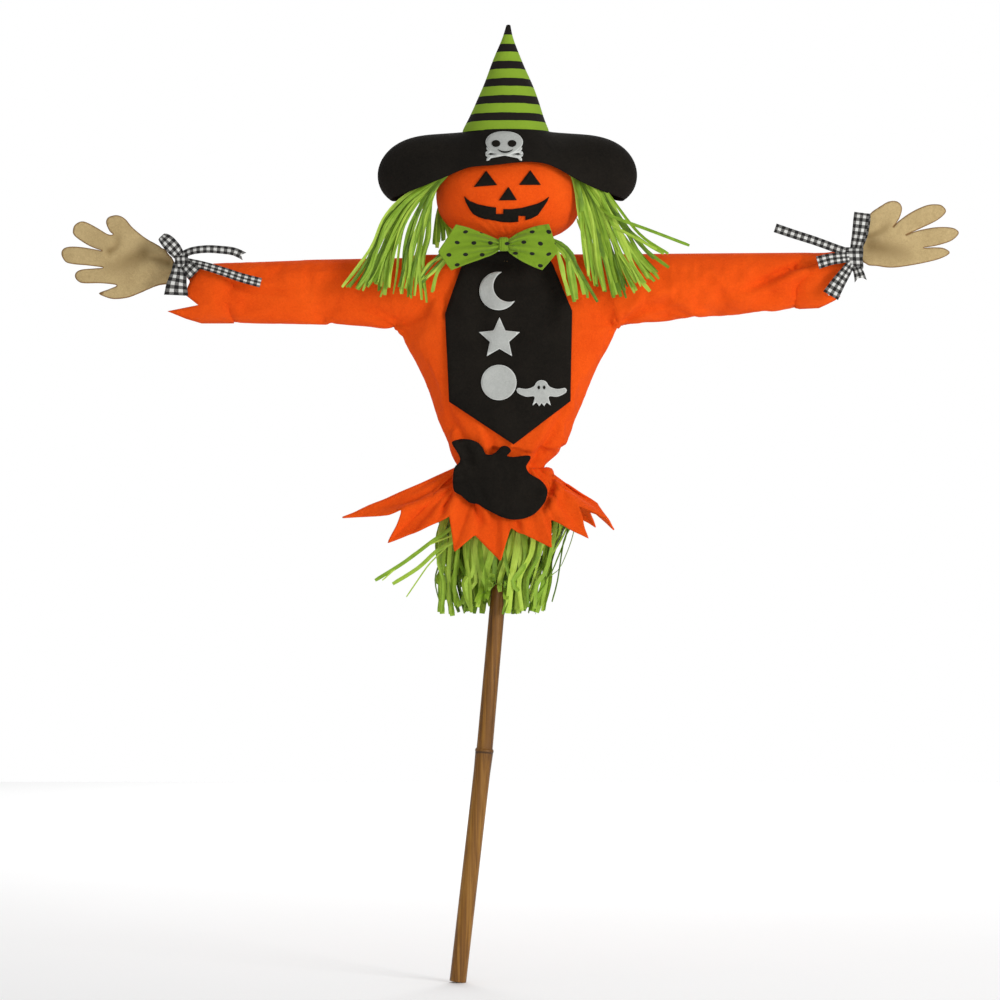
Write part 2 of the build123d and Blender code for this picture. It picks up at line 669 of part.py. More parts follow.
LOOPS = {  # (u, z, half length, half height, lean)
    "ribbon_loop_left": (-356, 770.5, 14.5, 5.5, -38),
    "ribbon_loop_right": (368.5, 786, 18, 6.5, 86),
}
for name, (u, z, half_length, half_height, lean) in LOOPS.items():
    with BuildPart() as loop:
        with BuildSketch(FACE_PLANE.offset(1)):
            with Locations(Location((u, z, 0), (0, 0, lean))):
                Ellipse(half_length, half_height)
                Ellipse(half_length - RIBBON, half_height - RIBBON, mode=Mode.SUBTRACT)
        extrude(amount=11)
    finish(loop, name)

TAILS = {  # (how far forward, corners)
    "ribbon_tail_upper_left": (14.0, [
        (-334, 763), (-319, 772), (-285, 769), (-274, 762), (-277, 758.5), (-279, 753),
        (-286, 760.5), (-319, 764), (-334, 756),
    ]),
    "ribbon_tail_lower_left": (15.2, [
        (-334, 755), (-256, 737), (-258, 732.5), (-261, 727), (-334, 746),
    ]),
    "ribbon_tail_short_left": (14.0, [
        (-349, 743.5), (-336, 743.5), (-335.8, 717), (-346, 721), (-357.9, 717),
    ]),
    "ribbon_tail_upper_right": (14.0, [
        (352, 758), (352, 767), (282.1, 790.8), (281, 787), (277.5, 783.9),
    ]),
    "ribbon_tail_lower_right": (15.2, [
        (352, 757.5), (330.8, 759.7), (328, 753), (322.7, 747.4), (352, 745),
    ]),
    "ribbon_tail_short_right": (16.6, [
        (354, 743), (362, 743), (346.5, 716.4), (338, 720.5), (329.2, 717.5),
    ]),
}
for name, (forward, corners) in TAILS.items():
    with BuildPart() as tail:
        with BuildSketch(FACE_PLANE.offset(forward)):
            Polygon(*corners, align=None)
        extrude(amount=RIBBON)
    finish(tail, name)
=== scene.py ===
"""Looks of the felt scarecrow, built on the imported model.

Lengths in the tables are millimetres in the model's frame, given as (x, z) or (x, y, z). Left and right are
the viewer's.
"""

import random
from math import atan2, cos, exp, hypot, pi, radians, sin, sqrt

import bpy
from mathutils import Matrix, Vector, noise
from mathutils.bvhtree import BVHTree
from mathutils.geometry import delaunay_2d_cdt


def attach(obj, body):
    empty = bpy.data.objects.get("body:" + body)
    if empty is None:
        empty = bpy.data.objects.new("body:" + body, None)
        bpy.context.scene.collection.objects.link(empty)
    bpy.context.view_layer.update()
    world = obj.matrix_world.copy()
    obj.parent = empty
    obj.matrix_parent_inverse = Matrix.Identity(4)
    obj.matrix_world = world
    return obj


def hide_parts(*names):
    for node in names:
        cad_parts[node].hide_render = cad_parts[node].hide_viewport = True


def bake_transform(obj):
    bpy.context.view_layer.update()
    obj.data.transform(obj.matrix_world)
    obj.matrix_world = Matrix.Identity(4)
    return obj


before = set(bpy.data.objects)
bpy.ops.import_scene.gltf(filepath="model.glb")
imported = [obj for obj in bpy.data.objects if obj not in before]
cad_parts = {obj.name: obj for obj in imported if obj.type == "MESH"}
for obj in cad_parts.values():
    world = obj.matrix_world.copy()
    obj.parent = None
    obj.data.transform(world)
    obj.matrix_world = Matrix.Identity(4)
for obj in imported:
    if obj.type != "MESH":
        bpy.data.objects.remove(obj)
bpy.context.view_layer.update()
MM = 0.001
MID = 52.0  # the figure's middle
ARM_Y = 12.8  # the arm cane's line, behind the stake
SLEEVE_Y = 8.5  # halfway through the cuffs
EYE = Vector((44, -4500, 503))  # where the figure is looked at from
VIEW_WIDTH = 1045  # how much the eye sees across, at the figure
FRONT = (0, -1, 0)
rng = random.Random(7)


# ---- mesh helpers ----
def new_object(name, verts, faces, smooth=True):
    """A mesh object from points in millimetres."""
    mesh = bpy.data.meshes.new(name)
    mesh.from_pydata([Vector(v) * MM for v in verts], [], faces)
    mesh.update()
    for polygon in mesh.polygons:
        polygon.use_smooth = smooth
    obj = bpy.data.objects.new(name, mesh)
    bpy.context.collection.objects.link(obj)
    return obj


def modify(obj, kind, **values):
    modifier = obj.modifiers.new(kind.title(), kind)
    for key, value in values.items():
        setattr(modifier, key, value)
    return modifier


def bake(obj):
    """Applies the object's modifiers."""
    bpy.context.view_layer.update()
    graph = bpy.context.evaluated_depsgraph_get()
    mesh = bpy.data.meshes.new_from_object(obj.evaluated_get(graph))
    old = obj.data
    obj.modifiers.clear()
    obj.data = mesh
    bpy.data.meshes.remove(old)
    for polygon in mesh.polygons:
        polygon.use_smooth = True
    return obj


def thicken(obj, thickness, offset=0):
    """Gives a sheet its thickness in millimetres."""
    modify(obj, "SOLIDIFY", thickness=thickness * MM, offset=offset)
    return bake(obj)


def sheet_faces(columns, rows):
    """Faces of a sheet whose points run down each column in turn."""
    corners = [c * (rows + 1) + r for c in range(columns) for r in range(rows)]
    return [(i, i + 1, i + rows + 2, i + rows + 1) for i in corners]


def ripple(*place):
    """Smooth noise at a place."""
    return noise.noise(Vector(place))


def heading(points, i):
    return (points[min(i + 1, len(points) - 1)] - points[max(i - 1, 0)]).normalized()


def join(name, objects):
    """Joins objects into the first of them."""
    target = objects[0]
    if len(objects) > 1:
        with bpy.context.temp_override(active_object=target, selected_editable_objects=objects):
            bpy.ops.object.join()
    target.name = name
    return target


def spline(points, step, closed=False):
    """Points every step along a smooth curve through the given ones, in any dimension."""
    points = [Vector(p) for p in points]
    count = len(points)
    out = []
    for i in range(count if closed else count - 1):
        if closed:
            a, b, c, d = (points[(i + k) % count] for k in (-1, 0, 1, 2))
        else:
            a, b = points[max(i - 1, 0)], points[i]
            c, d = points[i + 1], points[min(i + 2, count - 1)]
        pieces = max(1, round((c - b).length / step))
        for k in range(pieces):
            t = k / pieces
            bend, twist = 2 * a - 5 * b + 4 * c - d, 3 * b - a - 3 * c + d
            out.append(0.5 * (2 * b + (c - a) * t + bend * t * t + twist * t**3))
    if not closed:
        out.append(points[-1])
    return out


def straight(points, step):
    """Points every step round a closed outline with sharp corners."""
    out = []
    for a, b in zip(points, [*points[1:], points[0]]):
        a, b = Vector(a), Vector(b)
        pieces = max(1, round((b - a).length / step))
        out += [a.lerp(b, k / pieces) for k in range(pieces)]
    return out


def edge_distance(p, outline):
    best = 1e9
    for a, b in zip(outline, [*outline[1:], outline[0]]):
        ab = b - a
        t = max(0.0, min(1.0, (p - a).dot(ab) / max(ab.length_squared, 1e-9)))
        best = min(best, (p - a - ab * t).length)
    return best


def inside(p, outline):
    hit = False
    for a, b in zip(outline, [*outline[1:], outline[0]]):
        if (a.y > p.y) != (b.y > p.y) and p.x < (b.x - a.x) * (p.y - a.y) / (b.y - a.y) + a.x:
            hit = not hit
    return hit


def fill(outline, step):
    """Triangles that fill a flat outline. Returns points, faces, and each point's distance to the edge."""
    low = Vector((min(p.x for p in outline), min(p.y for p in outline)))
    high = Vector((max(p.x for p in outline), max(p.y for p in outline)))
    points = list(outline)
    row, y = 0, low.y
    while y < high.y:
        x = low.x + (step / 2 if row % 2 else 0)
        while x < high.x:
            p = Vector((x, y))
            if inside(p, outline) and edge_distance(p, outline) > step * 0.55:
                points.append(p)
            x += step
        y += step * 0.87
        row += 1
    verts, _, faces, *_ = delaunay_2d_cdt(points, [], [list(range(len(outline)))], 1, 1e-5)
    return verts, faces, [edge_distance(v, outline) for v in verts]


def add_tone(obj, name, values):
    """A number kept at each point, for the materials."""
    layer = obj.data.attributes.new(name, "FLOAT", "POINT")
    layer.data.foreach_set("value", values)


def add_places(obj, places):
    """A UV map from each point's place across and along its strip."""
    layer = obj.data.uv_layers.new(name="UVMap")
    for loop in obj.data.loops:
        layer.data[loop.index].uv = places[loop.vertex_index]


def tree_of(*objects):
    """Something to drop pieces onto."""
    verts, faces = [], []
    for obj in objects:
        start = len(verts)
        verts += [obj.matrix_world @ v.co / MM for v in obj.data.vertices]
        faces += [[start + i for i in p.vertices] for p in obj.data.polygons]
    return BVHTree.FromPolygons(verts, faces)


def seen(x, y, z):
    """The point at depth y that covers (x, z) of the plane y = 0, for the eye."""
    share = 1 - y / EYE.y
    return Vector((EYE.x + (x - EYE.x) * share, y, EYE.z + (z - EYE.z) * share))


def sight(x, z):
    return (Vector((x, 0, z)) - EYE).normalized()


def reach(tree, x, z, fallback):
    """How far the eye sees along a line before it meets the tree."""
    far = tree.ray_cast(EYE, sight(x, z))[3]
    return far if far else fallback - EYE.y


def plate(name, outline, tree, lift, thick, step=3.0, fallback=-30.0, spread=0.0, rough=0.0):
    """A flat piece of felt laid on whatever the tree holds, seen from the front. spread is how far it bridges
    hollows."""
    flat, faces, edge = fill(outline, step)
    verts = []
    for v, d in zip(flat, edge):
        ring = [(0, 0)]
        if spread:
            ring += [(spread * cos(a), spread * sin(a)) for a in (0, 1.05, 2.1, 3.14, 4.2, 5.24)]
        drops = [reach(tree, v.x + dx, v.y + dz, fallback) for dx, dz in ring]
        far = min(drops) * 0.6 + sum(drops) / len(drops) * 0.4
        wave = ripple(v.x * 0.05, v.y * 0.05, len(name)) * rough
        verts.append(EYE + sight(v.x, v.y) * (far - lift - wave))
    obj = new_object(name, verts, faces)
    add_tone(obj, "edge", edge)
    return thicken(obj, thick)


def loft(name, rings, closed_ends=True):
    """A closed skin through rings of points, each with the same count."""
    count = len(rings[0])
    verts = [p for ring in rings for p in ring]
    faces = []
    for r in range(len(rings) - 1):
        for k in range(count):
            a, b = r * count + k, r * count + (k + 1) % count
            faces.append((a, b, b + count, a + count))
    if closed_ends:
        faces.append(list(range(count))[::-1])
        faces.append([len(verts) - count + k for k in range(count)])
    return new_object(name, verts, faces)


def oval(centre, half_a, half_b, across, up, count=32):
    turns = [2 * pi * k / count for k in range(count)]
    return [Vector(centre) + Vector(across) * half_a * cos(a) + Vector(up) * half_b * sin(a) for a in turns]


FELT_CLOTH = {
    "quality": 6, "mass": 0.15, "tension_stiffness": 12, "compression_stiffness": 8,
    "bending_stiffness": 0.35, "use_pressure": True,
}


def settle(obj, voxel, pressure, cap, grow=0.0, pin=None, sag=0.0, frames=20):
    """Remeshes a closed form and lets cloth simulation wrinkle it. pin gives how firmly a point is held,
    0 to 1."""
    modify(obj, "REMESH", mode="VOXEL", voxel_size=voxel * MM)
    bake(obj)
    start = [v.co.copy() for v in obj.data.vertices]
    cloth = modify(obj, "CLOTH")
    for key, value in FELT_CLOTH.items():
        setattr(cloth.settings, key, value)
    cloth.settings.uniform_pressure_force = pressure
    cloth.settings.shrink_min = -grow
    cloth.settings.effector_weights.gravity = sag
    cloth.collision_settings.use_collision = False
    if pin:
        group = obj.vertex_groups.new(name="held")
        for i, co in enumerate(start):
            group.add([i], pin(co / MM), "REPLACE")
        cloth.settings.vertex_group_mass = "held"
    scene = bpy.context.scene
    cloth.point_cache.frame_start, cloth.point_cache.frame_end = 1, frames
    for f in range(1, frames + 1):
        scene.frame_set(f)
    graph = bpy.context.evaluated_depsgraph_get()
    moved = [v.co.copy() for v in obj.evaluated_get(graph).data.vertices]
    obj.modifiers.clear()
    scene.frame_set(1)
    for v, a, b in zip(obj.data.vertices, start, moved):
        way = b - a
        v.co = a + way * min(1.0, cap * MM / max(way.length, 1e-9))
    modify(obj, "SUBSURF", levels=1, render_levels=1)
    return bake(obj)


def gathers(obj, centre, count, spread, height, seed, keep=None):
    """Creases that run out from a tied point, fading with distance."""
    obj.data.update()
    normals = [v.normal.copy() for v in obj.data.vertices]
    for v, n in zip(obj.data.vertices, normals):
        p = v.co / MM
        dx, dz = p.x - centre[0], p.z - centre[1]
        far = hypot(dx, dz)
        if keep and not keep(p):
            continue
        angle = atan2(dz, dx)
        wander = ripple(angle * 2.2, far * 0.012, seed) * 2.4
        fade = min(1.0, far / 8 + 0.3) * exp(-far / spread)
        v.co += n * MM * height * fade * (1 - 1.6 * abs(sin(angle * count / 2 + wander)))


def creases(obj, lines):
    """Folds along lines on the front of a piece. Each is (points, width, depth): a valley with a ridge
    beside it."""
    obj.data.update()
    paths = [([Vector(p) for p in points], width, depth) for points, width, depth in lines]
    moves = []
    for v in obj.data.vertices:
        p = v.co / MM
        push = 0.0
        if v.normal.y < 0.15:
            flat = Vector((p.x, p.z))
            for points, width, depth in paths:
                low = min(q.x for q in points) - 3 * width, min(q.y for q in points) - 3 * width
                high = max(q.x for q in points) + 3 * width, max(q.y for q in points) + 3 * width
                if not (low[0] < flat.x < high[0] and low[1] < flat.y < high[1]):
                    continue
                best, side, taper = 1e9, 1, 1.0
                for k, (a, b) in enumerate(zip(points, points[1:])):
                    ab = b - a
                    t = max(0.0, min(1.0, (flat - a).dot(ab) / ab.length_squared))
                    off = flat - a - ab * t
                    if off.length < best:
                        best, side = off.length, 1 if ab.x * off.y - ab.y * off.x > 0 else -1
                        taper = 1 - ((k + t) / (len(points) - 1)) ** 2
                away = side * best
                valley = exp(-((away / width) ** 2))
                ridge = 0.7 * exp(-(((away - 1.9 * width) / (1.3 * width)) ** 2))
                push += depth * taper * (ridge - valley)
        moves.append(v.normal * push * MM)
    for v, move in zip(obj.data.vertices, moves):
        v.co += move


# ---- material helpers ----
class Value:
    """A node's output, which takes plain arithmetic."""

    def __init__(self, owner, socket):
        self.owner, self.socket = owner, socket

    def __add__(self, other):
        return self.owner.math("ADD", self, other)

    def __sub__(self, other):
        return self.owner.math("SUBTRACT", self, other)

    def __rsub__(self, other):
        return self.owner.math("SUBTRACT", other, self)

    def __mul__(self, other):
        return self.owner.math("MULTIPLY", self, other)

    def __truediv__(self, other):
        return self.owner.math("DIVIDE", self, other)


class Nodes:
    """A short way to write a node material."""

    def __init__(self, name, **shader):
        self.material = bpy.data.materials.new(name)
        self.material.use_nodes = True
        self.tree = self.material.node_tree
        self.shader = self.tree.nodes["Principled BSDF"]
        for key, value in shader.items():
            self.shader.inputs[key.replace("_", " ")].default_value = value

    def feed(self, value, socket):
        """Links a node's output to a socket, or sets it to a plain number, vector or colour."""
        if isinstance(value, Value):
            self.tree.links.new(value.socket, socket)
        elif isinstance(value, tuple) and len(value) < len(socket.default_value):
            socket.default_value = (*value, 1)
        else:
            socket.default_value = value

    def add(self, kind, values, **settings):
        node = self.tree.nodes.new(kind)
        for key, value in settings.items():
            setattr(node, key, value)
        for key, value in values.items():
            self.feed(value, node.inputs[key])
        return node

    def out(self, kind, values, output=0, **settings):
        """One output of a new node."""
        return Value(self, self.add(kind, values, **settings).outputs[output])

    def coords(self, stretch=(1, 1, 1), uv=False):
        base = self.out("ShaderNodeTexCoord", {}, "UV" if uv else "Object")
        return self.out("ShaderNodeMapping", {"Vector": base, "Scale": stretch})

    def axes(self, uv=False):
        """The x, y and z of the coordinates."""
        node = self.add("ShaderNodeSeparateXYZ", {0: self.coords(uv=uv)})
        return [Value(self, output) for output in node.outputs]

    def kept(self, name):
        """A number kept at each point by add_tone."""
        return self.out("ShaderNodeAttribute", {}, "Fac", attribute_name=name)

    def noise(self, scale, detail=3.0, at=None, rough=0.55, twist=0.0):
        values = {"Scale": scale, "Detail": detail, "Roughness": rough, "Distortion": twist}
        return self.out("ShaderNodeTexNoise", {**values, "Vector": at or self.coords()})

    def math(self, how, a, b=0.0):
        return self.out("ShaderNodeMath", {0: a, 1: b}, operation=how)

    def ramp(self, value, *stops):
        """Colour or shade along a value. Each stop is (place, shade or colour)."""
        node = self.add("ShaderNodeValToRGB", {"Fac": value})
        elements = node.color_ramp.elements
        while len(elements) < len(stops):
            elements.new(0.5)
        for element, (place, shade) in zip(elements, stops):
            element.position = place
            element.color = (*shade, 1) if isinstance(shade, tuple) else (shade, shade, shade, 1)
        return Value(self, node.outputs[0])

    def mix(self, share, a, b):
        return self.out("ShaderNodeMix", {0: share, 6: a, 7: b}, 2, data_type="RGBA")

    def bump(self, height, distance, strength=0.6):
        values = {"Height": height, "Distance": distance, "Strength": strength}
        self.feed(self.out("ShaderNodeBump", values), self.shader.inputs["Normal"])

    def colour(self, value):
        self.feed(value, self.shader.inputs["Base Color"])

    def roughness(self, value):
        self.feed(value, self.shader.inputs["Roughness"])


def srgb(r, g, b):
    """A linear colour from 0-255 values."""
    return tuple(((c / 255 + 0.055) / 1.055) ** 2.4 if c > 10 else c / 255 / 12.92 for c in (r, g, b))


def felt(name, light, dark, sheen, fibre=1.0, edge=None, bands=None, painted_crease_shade=None):
    """Wool felt: matted fibres, slow mottling and a soft sheen. edge is the cut edge's colour and width,
    bands makes the colour in place of light and dark, and the last argument is painted shade: a darker
    colour laid along the folds, where shade falls."""
    m = Nodes(name, Roughness=0.93, Sheen_Weight=sheen, Sheen_Roughness=0.5, Specular_IOR_Level=0.12)
    m.shader.inputs["Sheen Tint"].default_value = (*[min(1.0, c * 1.6 + 0.05) for c in light], 1)
    mats = m.noise(260, 5, rough=0.7, twist=1.6)
    fibres = m.noise(1500, 3, rough=0.75, twist=2.5)
    share = m.noise(22, 3) * 0.35 + mats * 0.45 + fibres * 0.30
    colour = bands(m, share) if bands else m.mix(m.ramp(share, (0.40, 0.0), (0.68, 1.0)), dark, light)
    if edge:
        tint, width = edge
        near = m.kept("edge") + (mats * width - width / 2)
        colour = m.mix(m.ramp(near / (width * 2), (0.25, 0.8), (0.75, 0.0)), colour, tint)
    # painted shade: the colour is darkened along the folds by the fold number kept at each point
    if painted_crease_shade:
        colour = m.mix(m.kept("fold") * (mats + 0.2), colour, painted_crease_shade)
    m.colour(colour)
    m.bump(fibres * 0.5 + mats * 0.9, 0.0011 * fibre, 0.75)
    return m.material


# metres: where the highest green band starts, and the length of one green and black pair
BAND_TOP, BAND_PITCH = 0.9891, 0.01852


def hat_bands(m, share):
    """Green and black bands down the cone."""
    height = m.axes()[2] + (m.noise(90, 2) * 0.0012 - 0.0006)
    place = m.math("MAXIMUM", (BAND_TOP - height) / BAND_PITCH, -0.4)
    black = m.ramp(m.math("FRACT", place), (0.53, 0.0), (0.55, 1.0))
    green = m.mix(share, srgb(122, 154, 38), srgb(146, 180, 56))
    return m.mix(black, green, m.mix(share, srgb(18, 15, 13), srgb(40, 35, 31)))


SPOT_X, SPOT_Z = -0.0088, 0.7626  # metres: where the rows of spots are counted from
SPOT_ACROSS, SPOT_UP = 0.0172, 0.0115  # metres from spot to spot, and from row to row
SPOT_TALL = 0.0163  # over SPOT_UP, this makes each spot a low oval


def spotted_cloth():
    """Thin green cotton with rows of oval black spots."""
    m = Nodes("bow_cloth", Roughness=0.8, Sheen_Weight=0.1, Specular_IOR_Level=0.25)
    x, _, z = m.axes()
    row = (z - SPOT_Z + (m.noise(38, 1) * 0.007 - 0.0035)) / SPOT_UP
    odd = m.math("MODULO", m.math("FLOOR", row), 2.0) * 0.5
    across = (m.math("FRACT", (x - SPOT_X) / SPOT_ACROSS + odd) - 0.5) * SPOT_ACROSS
    up = (m.math("FRACT", row) - 0.5) * SPOT_TALL
    far = m.math("SQRT", across * across + up * up)
    spot = m.ramp(far * 200.0, (0.50, 1.0), (0.56, 0.0))
    thread = m.noise(1800, 2)
    green = m.mix(thread, srgb(98, 130, 18), srgb(130, 162, 34))
    m.colour(m.mix(spot, green, srgb(22, 22, 16)))
    m.bump(thread + m.noise(200, 3), 0.0004)
    return m.material


CHECK = 7.2  # millimetres: one dark and one light stripe of the gingham


def gingham():
    """Woven check: black, white, and the twilled grey where they cross. U runs across the ribbon and V
    along it."""
    m = Nodes("gingham", Roughness=0.7, Sheen_Weight=0.08, Specular_IOR_Level=0.3)
    u, v, _ = m.axes(uv=True)
    stripes = [m.ramp(m.math("FRACT", way / CHECK), (0.46, 0.0), (0.52, 1.0)) for way in (u, v)]
    both = (stripes[0] + stripes[1]) / 2.0
    diagonal = m.math("SINE", (u + v) * 9.0)
    crossing = 1.0 - m.math("ABSOLUTE", both * 2.0 - 1.0)
    shade = both + diagonal * crossing * 0.16
    m.colour(m.ramp(shade, (0.0, srgb(220, 220, 216)), (0.5, srgb(84, 82, 79)), (1.0, srgb(16, 14, 14))))
    m.bump(m.math("SINE", u * 14.0) * m.math("SINE", v * 14.0), 0.00012)
    return m.material


def raffia():
    """Dyed palm strips: each strip has its own shade, with fine lines along it and a dull gloss."""
    m = Nodes("raffia", Specular_IOR_Level=0.35, Sheen_Weight=0.05)
    lines = m.noise(1.0, 4, at=m.coords((9, 0.05, 1), uv=True), rough=0.6)
    blotch = m.noise(1.0, 2, at=m.coords((0.5, 0.09, 1), uv=True))
    share = m.kept("tone") * 0.55 + lines * 0.45 + (blotch * 0.36 - 0.18)
    m.colour(m.ramp(share, (0.14, srgb(60, 90, 4)), (0.42, srgb(122, 160, 28)), (0.84, srgb(180, 208, 74))))
    m.roughness(lines * 0.25 + 0.42)
    m.bump(lines, 0.0004, 0.8)
    return m.material


CANE_NODES = (0.2395, 0.455, 0.655)  # metres: how high the stake's nodes are


def bamboo():
    """Stained cane: long fibres, yellow-brown streaks, scuffs, and a dark scar at each node."""
    m = Nodes("bamboo", Specular_IOR_Level=0.25, Coat_Weight=0.08, Coat_Roughness=0.35)
    streaks = m.noise(1.0, 5, at=m.coords((420, 420, 5)), rough=0.65)
    broad = m.noise(1.0, 3, at=m.coords((110, 110, 3)))
    scuffs = m.noise(1.0, 4, at=m.coords((150, 150, 60)), rough=0.8)
    shades = (0.36, srgb(66, 38, 8)), (0.52, srgb(118, 76, 20)), (0.70, srgb(158, 112, 44))
    colour = m.ramp(streaks * 0.55 + broad * 0.5, *shades)
    colour = m.mix(m.ramp(scuffs, (0.66, 0.0), (0.74, 0.85)), colour, srgb(58, 34, 14))
    height = m.axes()[2] + (m.noise(160, 2) * 0.006 - 0.003)
    for node_z in CANE_NODES:
        near = m.math("ABSOLUTE", height - node_z)
        colour = m.mix(m.ramp(near * 100.0, (0.08, 0.9), (0.19, 0.0)), colour, srgb(34, 20, 8))
        colour = m.mix(m.ramp(near * 30.0, (0.1, 0.35), (0.4, 0.0)), colour, srgb(96, 62, 26))
    m.colour(colour)
    m.roughness(streaks * 0.3 + 0.28)
    m.bump(streaks + scuffs * 0.6, 0.0008, 0.7)
    return m.material


def twine():
    """Twisted brown string."""
    m = Nodes("twine", Roughness=0.9, Specular_IOR_Level=0.15)
    share = m.noise(900, 3)
    m.colour(m.ramp(share, (0.35, srgb(112, 84, 48)), (0.65, srgb(186, 156, 108))))
    m.bump(share, 0.0006)
    return m.material


orange_felt = felt("orange_felt", srgb(246, 92, 18), srgb(222, 70, 8), 0.06)
black_felt = felt("black_felt", srgb(32, 28, 23), srgb(14, 12, 9), 0.03)
grey_felt = felt(
    "grey_felt", srgb(186, 188, 184), srgb(160, 162, 158), 0.05, 0.6, edge=(srgb(214, 216, 212), 0.7),
)
# tan felt for the hands; its last colour is painted shade along their folds
tan_felt = felt(
    "tan_felt", srgb(202, 178, 130), srgb(166, 142, 98), 0.08,
    edge=(srgb(122, 82, 42), 1.0), painted_crease_shade=srgb(118, 94, 54),
)
striped_felt = felt("striped_felt", srgb(36, 31, 27), srgb(17, 14, 12), 0.05, bands=hat_bands)
bow_cloth, gingham_cloth, raffia_strip = spotted_cloth(), gingham(), raffia()
cane, string = bamboo(), twine()


def dress(obj, material, body, slot, *nodes):
    """Gives a finished piece its material and body, and hides the model's parts it stands for."""
    obj.data.materials.clear()
    obj.data.materials.append(material)
    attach(obj, body)
    if nodes:
        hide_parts(*nodes)
    return obj


# ---- tunic ----
# (z, left edge, right edge, half depth) down the torso
TORSO = [
    (760, -50, 154, 9), (752, -58, 164, 15), (735, -61, 167, 23), (690, -60.5, 168, 33),
    (657, -50, 155, 36), (640, -44.6, 149, 36), (602, -30, 134.5, 34), (586, -23.8, 127, 31),
    (561, -12, 117, 27), (548, -4, 101, 23), (538, -1.5, 90, 20), (531, -3, 92, 20),
]
# (x, top, bottom, half depth, y) along each sleeve
SLEEVE_LEFT = [
    (10, 757, 684, 22, 8), (-60, 757, 687.5, 22, 8), (-150, 755, 690.5, 21, 8), (-230, 752, 691.5, 20, 8),
    (-258, 751, 692.5, 18, 8), (-267, 749, 697, 14, 9), (-275, 750, 715, 10, 10), (-284, 751, 735, 7.5, 12),
]
SLEEVE_RIGHT = [
    (95, 761, 686, 22, 8), (168, 761, 687.5, 22, 8), (285, 762, 698, 21, 8), (345, 762.5, 704, 19, 8),
    (374, 763, 706.5, 17, 8), (385, 763, 712, 13, 9), (394, 763, 728, 11, 10), (404, 764, 746, 9, 12),
]
# (points from the deep end to the shallow end, width, depth)
TUNIC_FOLDS = [
    ([(78, 540), (84, 551), (95, 566), (108, 592), (112, 615)], 4.5, 5.5),
    ([(38, 548), (36, 560), (32, 574), (24, 590)], 4.0, 4.0),
    ([(8, 556), (2, 572), (-8, 590), (-16, 618)], 5.0, 4.5),
    ([(-8, 700), (-20, 722), (-26, 742)], 6.0, 3.0),
    ([(-276, 738), (-252, 731), (-213, 723), (-170, 719)], 3.4, 5.0),
    ([(-266, 712), (-252, 706), (-236, 704)], 3.0, 3.5),
    ([(372, 754), (350, 746), (324, 734), (300, 722), (268, 714)], 4.4, 7.0),
    ([(388, 744), (368, 726), (348, 716)], 4.0, 3.0),
    ([(176, 690), (196, 704), (230, 712)], 5.0, 3.0),
    ([(-66, 690), (-92, 704), (-128, 712)], 5.0, 3.0),
]


def tunic_form():
    parts = []
    rings = [
        oval(((a + b) / 2, 8, z), (b - a) / 2, deep, (1, 0, 0), (0, 1, 0), 48) for z, a, b, deep in TORSO
    ]
    parts.append(loft("torso", rings))
    for stations in (SLEEVE_LEFT, SLEEVE_RIGHT):
        rings = [
            oval((x, y, (top + low) / 2), deep, (top - low) / 2, (0, 1, 0), (0, 0, 1))
            for x, top, low, deep, y in stations
        ]
        parts.append(loft("sleeve", rings))
    return join("tunic", parts)


def tunic_hold(p):
    """The canes, the waist string and the wrists hold the cloth."""
    hold = 0.0
    if p.z > 742:
        hold = min(1.0, (p.z - 742) / 10)
    if p.z < 556 and -70 < p.x < 170:
        hold = max(hold, min(1.0, (556 - p.z) / 14))
    wrist = min(abs(p.x + 284), abs(p.x - 404))
    return max(hold, min(1.0, max(0.0, 1 - (wrist - 12) / 16)))


tunic = tunic_form()
settle(tunic, 4.6, 0.5, 4.5, grow=0.05, pin=tunic_hold, sag=0.04, frames=22)
gathers(tunic, (44, 534), 34, 16, 2.6, 1.0, keep=lambda p: p.z < 620)
gathers(tunic, (44, 520), 13, 30, 2.2, 5.0, keep=lambda p: p.z < 660)
gathers(tunic, (-290, 744), 16, 18, 3.0, 2.0)
gathers(tunic, (410, 755), 16, 18, 3.0, 3.0)
gathers(tunic, (-62, 684), 7, 24, 2.2, 6.0)
gathers(tunic, (169, 687), 7, 24, 2.2, 8.0)
creases(tunic, TUNIC_FOLDS)
tunic_tree = tree_of(tunic)
dress(tunic, orange_felt, "figure", "orange_felt", "tunic_front", "tunic_back")

# the hem below the string: how far round the waist each tip and notch is in degrees, and its x, y and z
HEM_FRONT = [
    (-90, -61, 4, 510), (-86, -103, -6, 492), (-80, -121, -12, 484.5), (-66, -72, -24, 487),
    (-58, -58, -26, 491.7), (-50, -73, -34, 458), (-36, -36, -34, 473), (-27, -8.8, -34, 485.6),
    (-20, -4.2, -43, 448.8), (-10, 18, -38, 466.4), (2, 44.3, -46, 439.1), (12, 55.3, -38, 474.2),
    (26, 98, -44, 453), (38, 97, -34, 482.9), (50, 136.5, -38, 462.9), (60, 127, -28, 497),
    (70, 156, -26, 484), (80, 164.4, -16, 471.4), (90, 146, 4, 499),
]
HEM_BACK = [
    (90, 146, 4, 499), (98, 152, 12, 486), (108, 136.9, 24, 490.8), (120, 144.7, 34, 474),
    (134, 112, 38, 494), (148, 78, 50, 455), (162, 66, 42, 476), (178, 46, 54, 444), (192, 30, 42, 474),
    (206, 14, 50, 452), (222, -14, 40, 490), (236, -48, 42, 474), (246, -56, 30, 496), (258, -92, 20, 490),
    (270, -61, 4, 510),
]


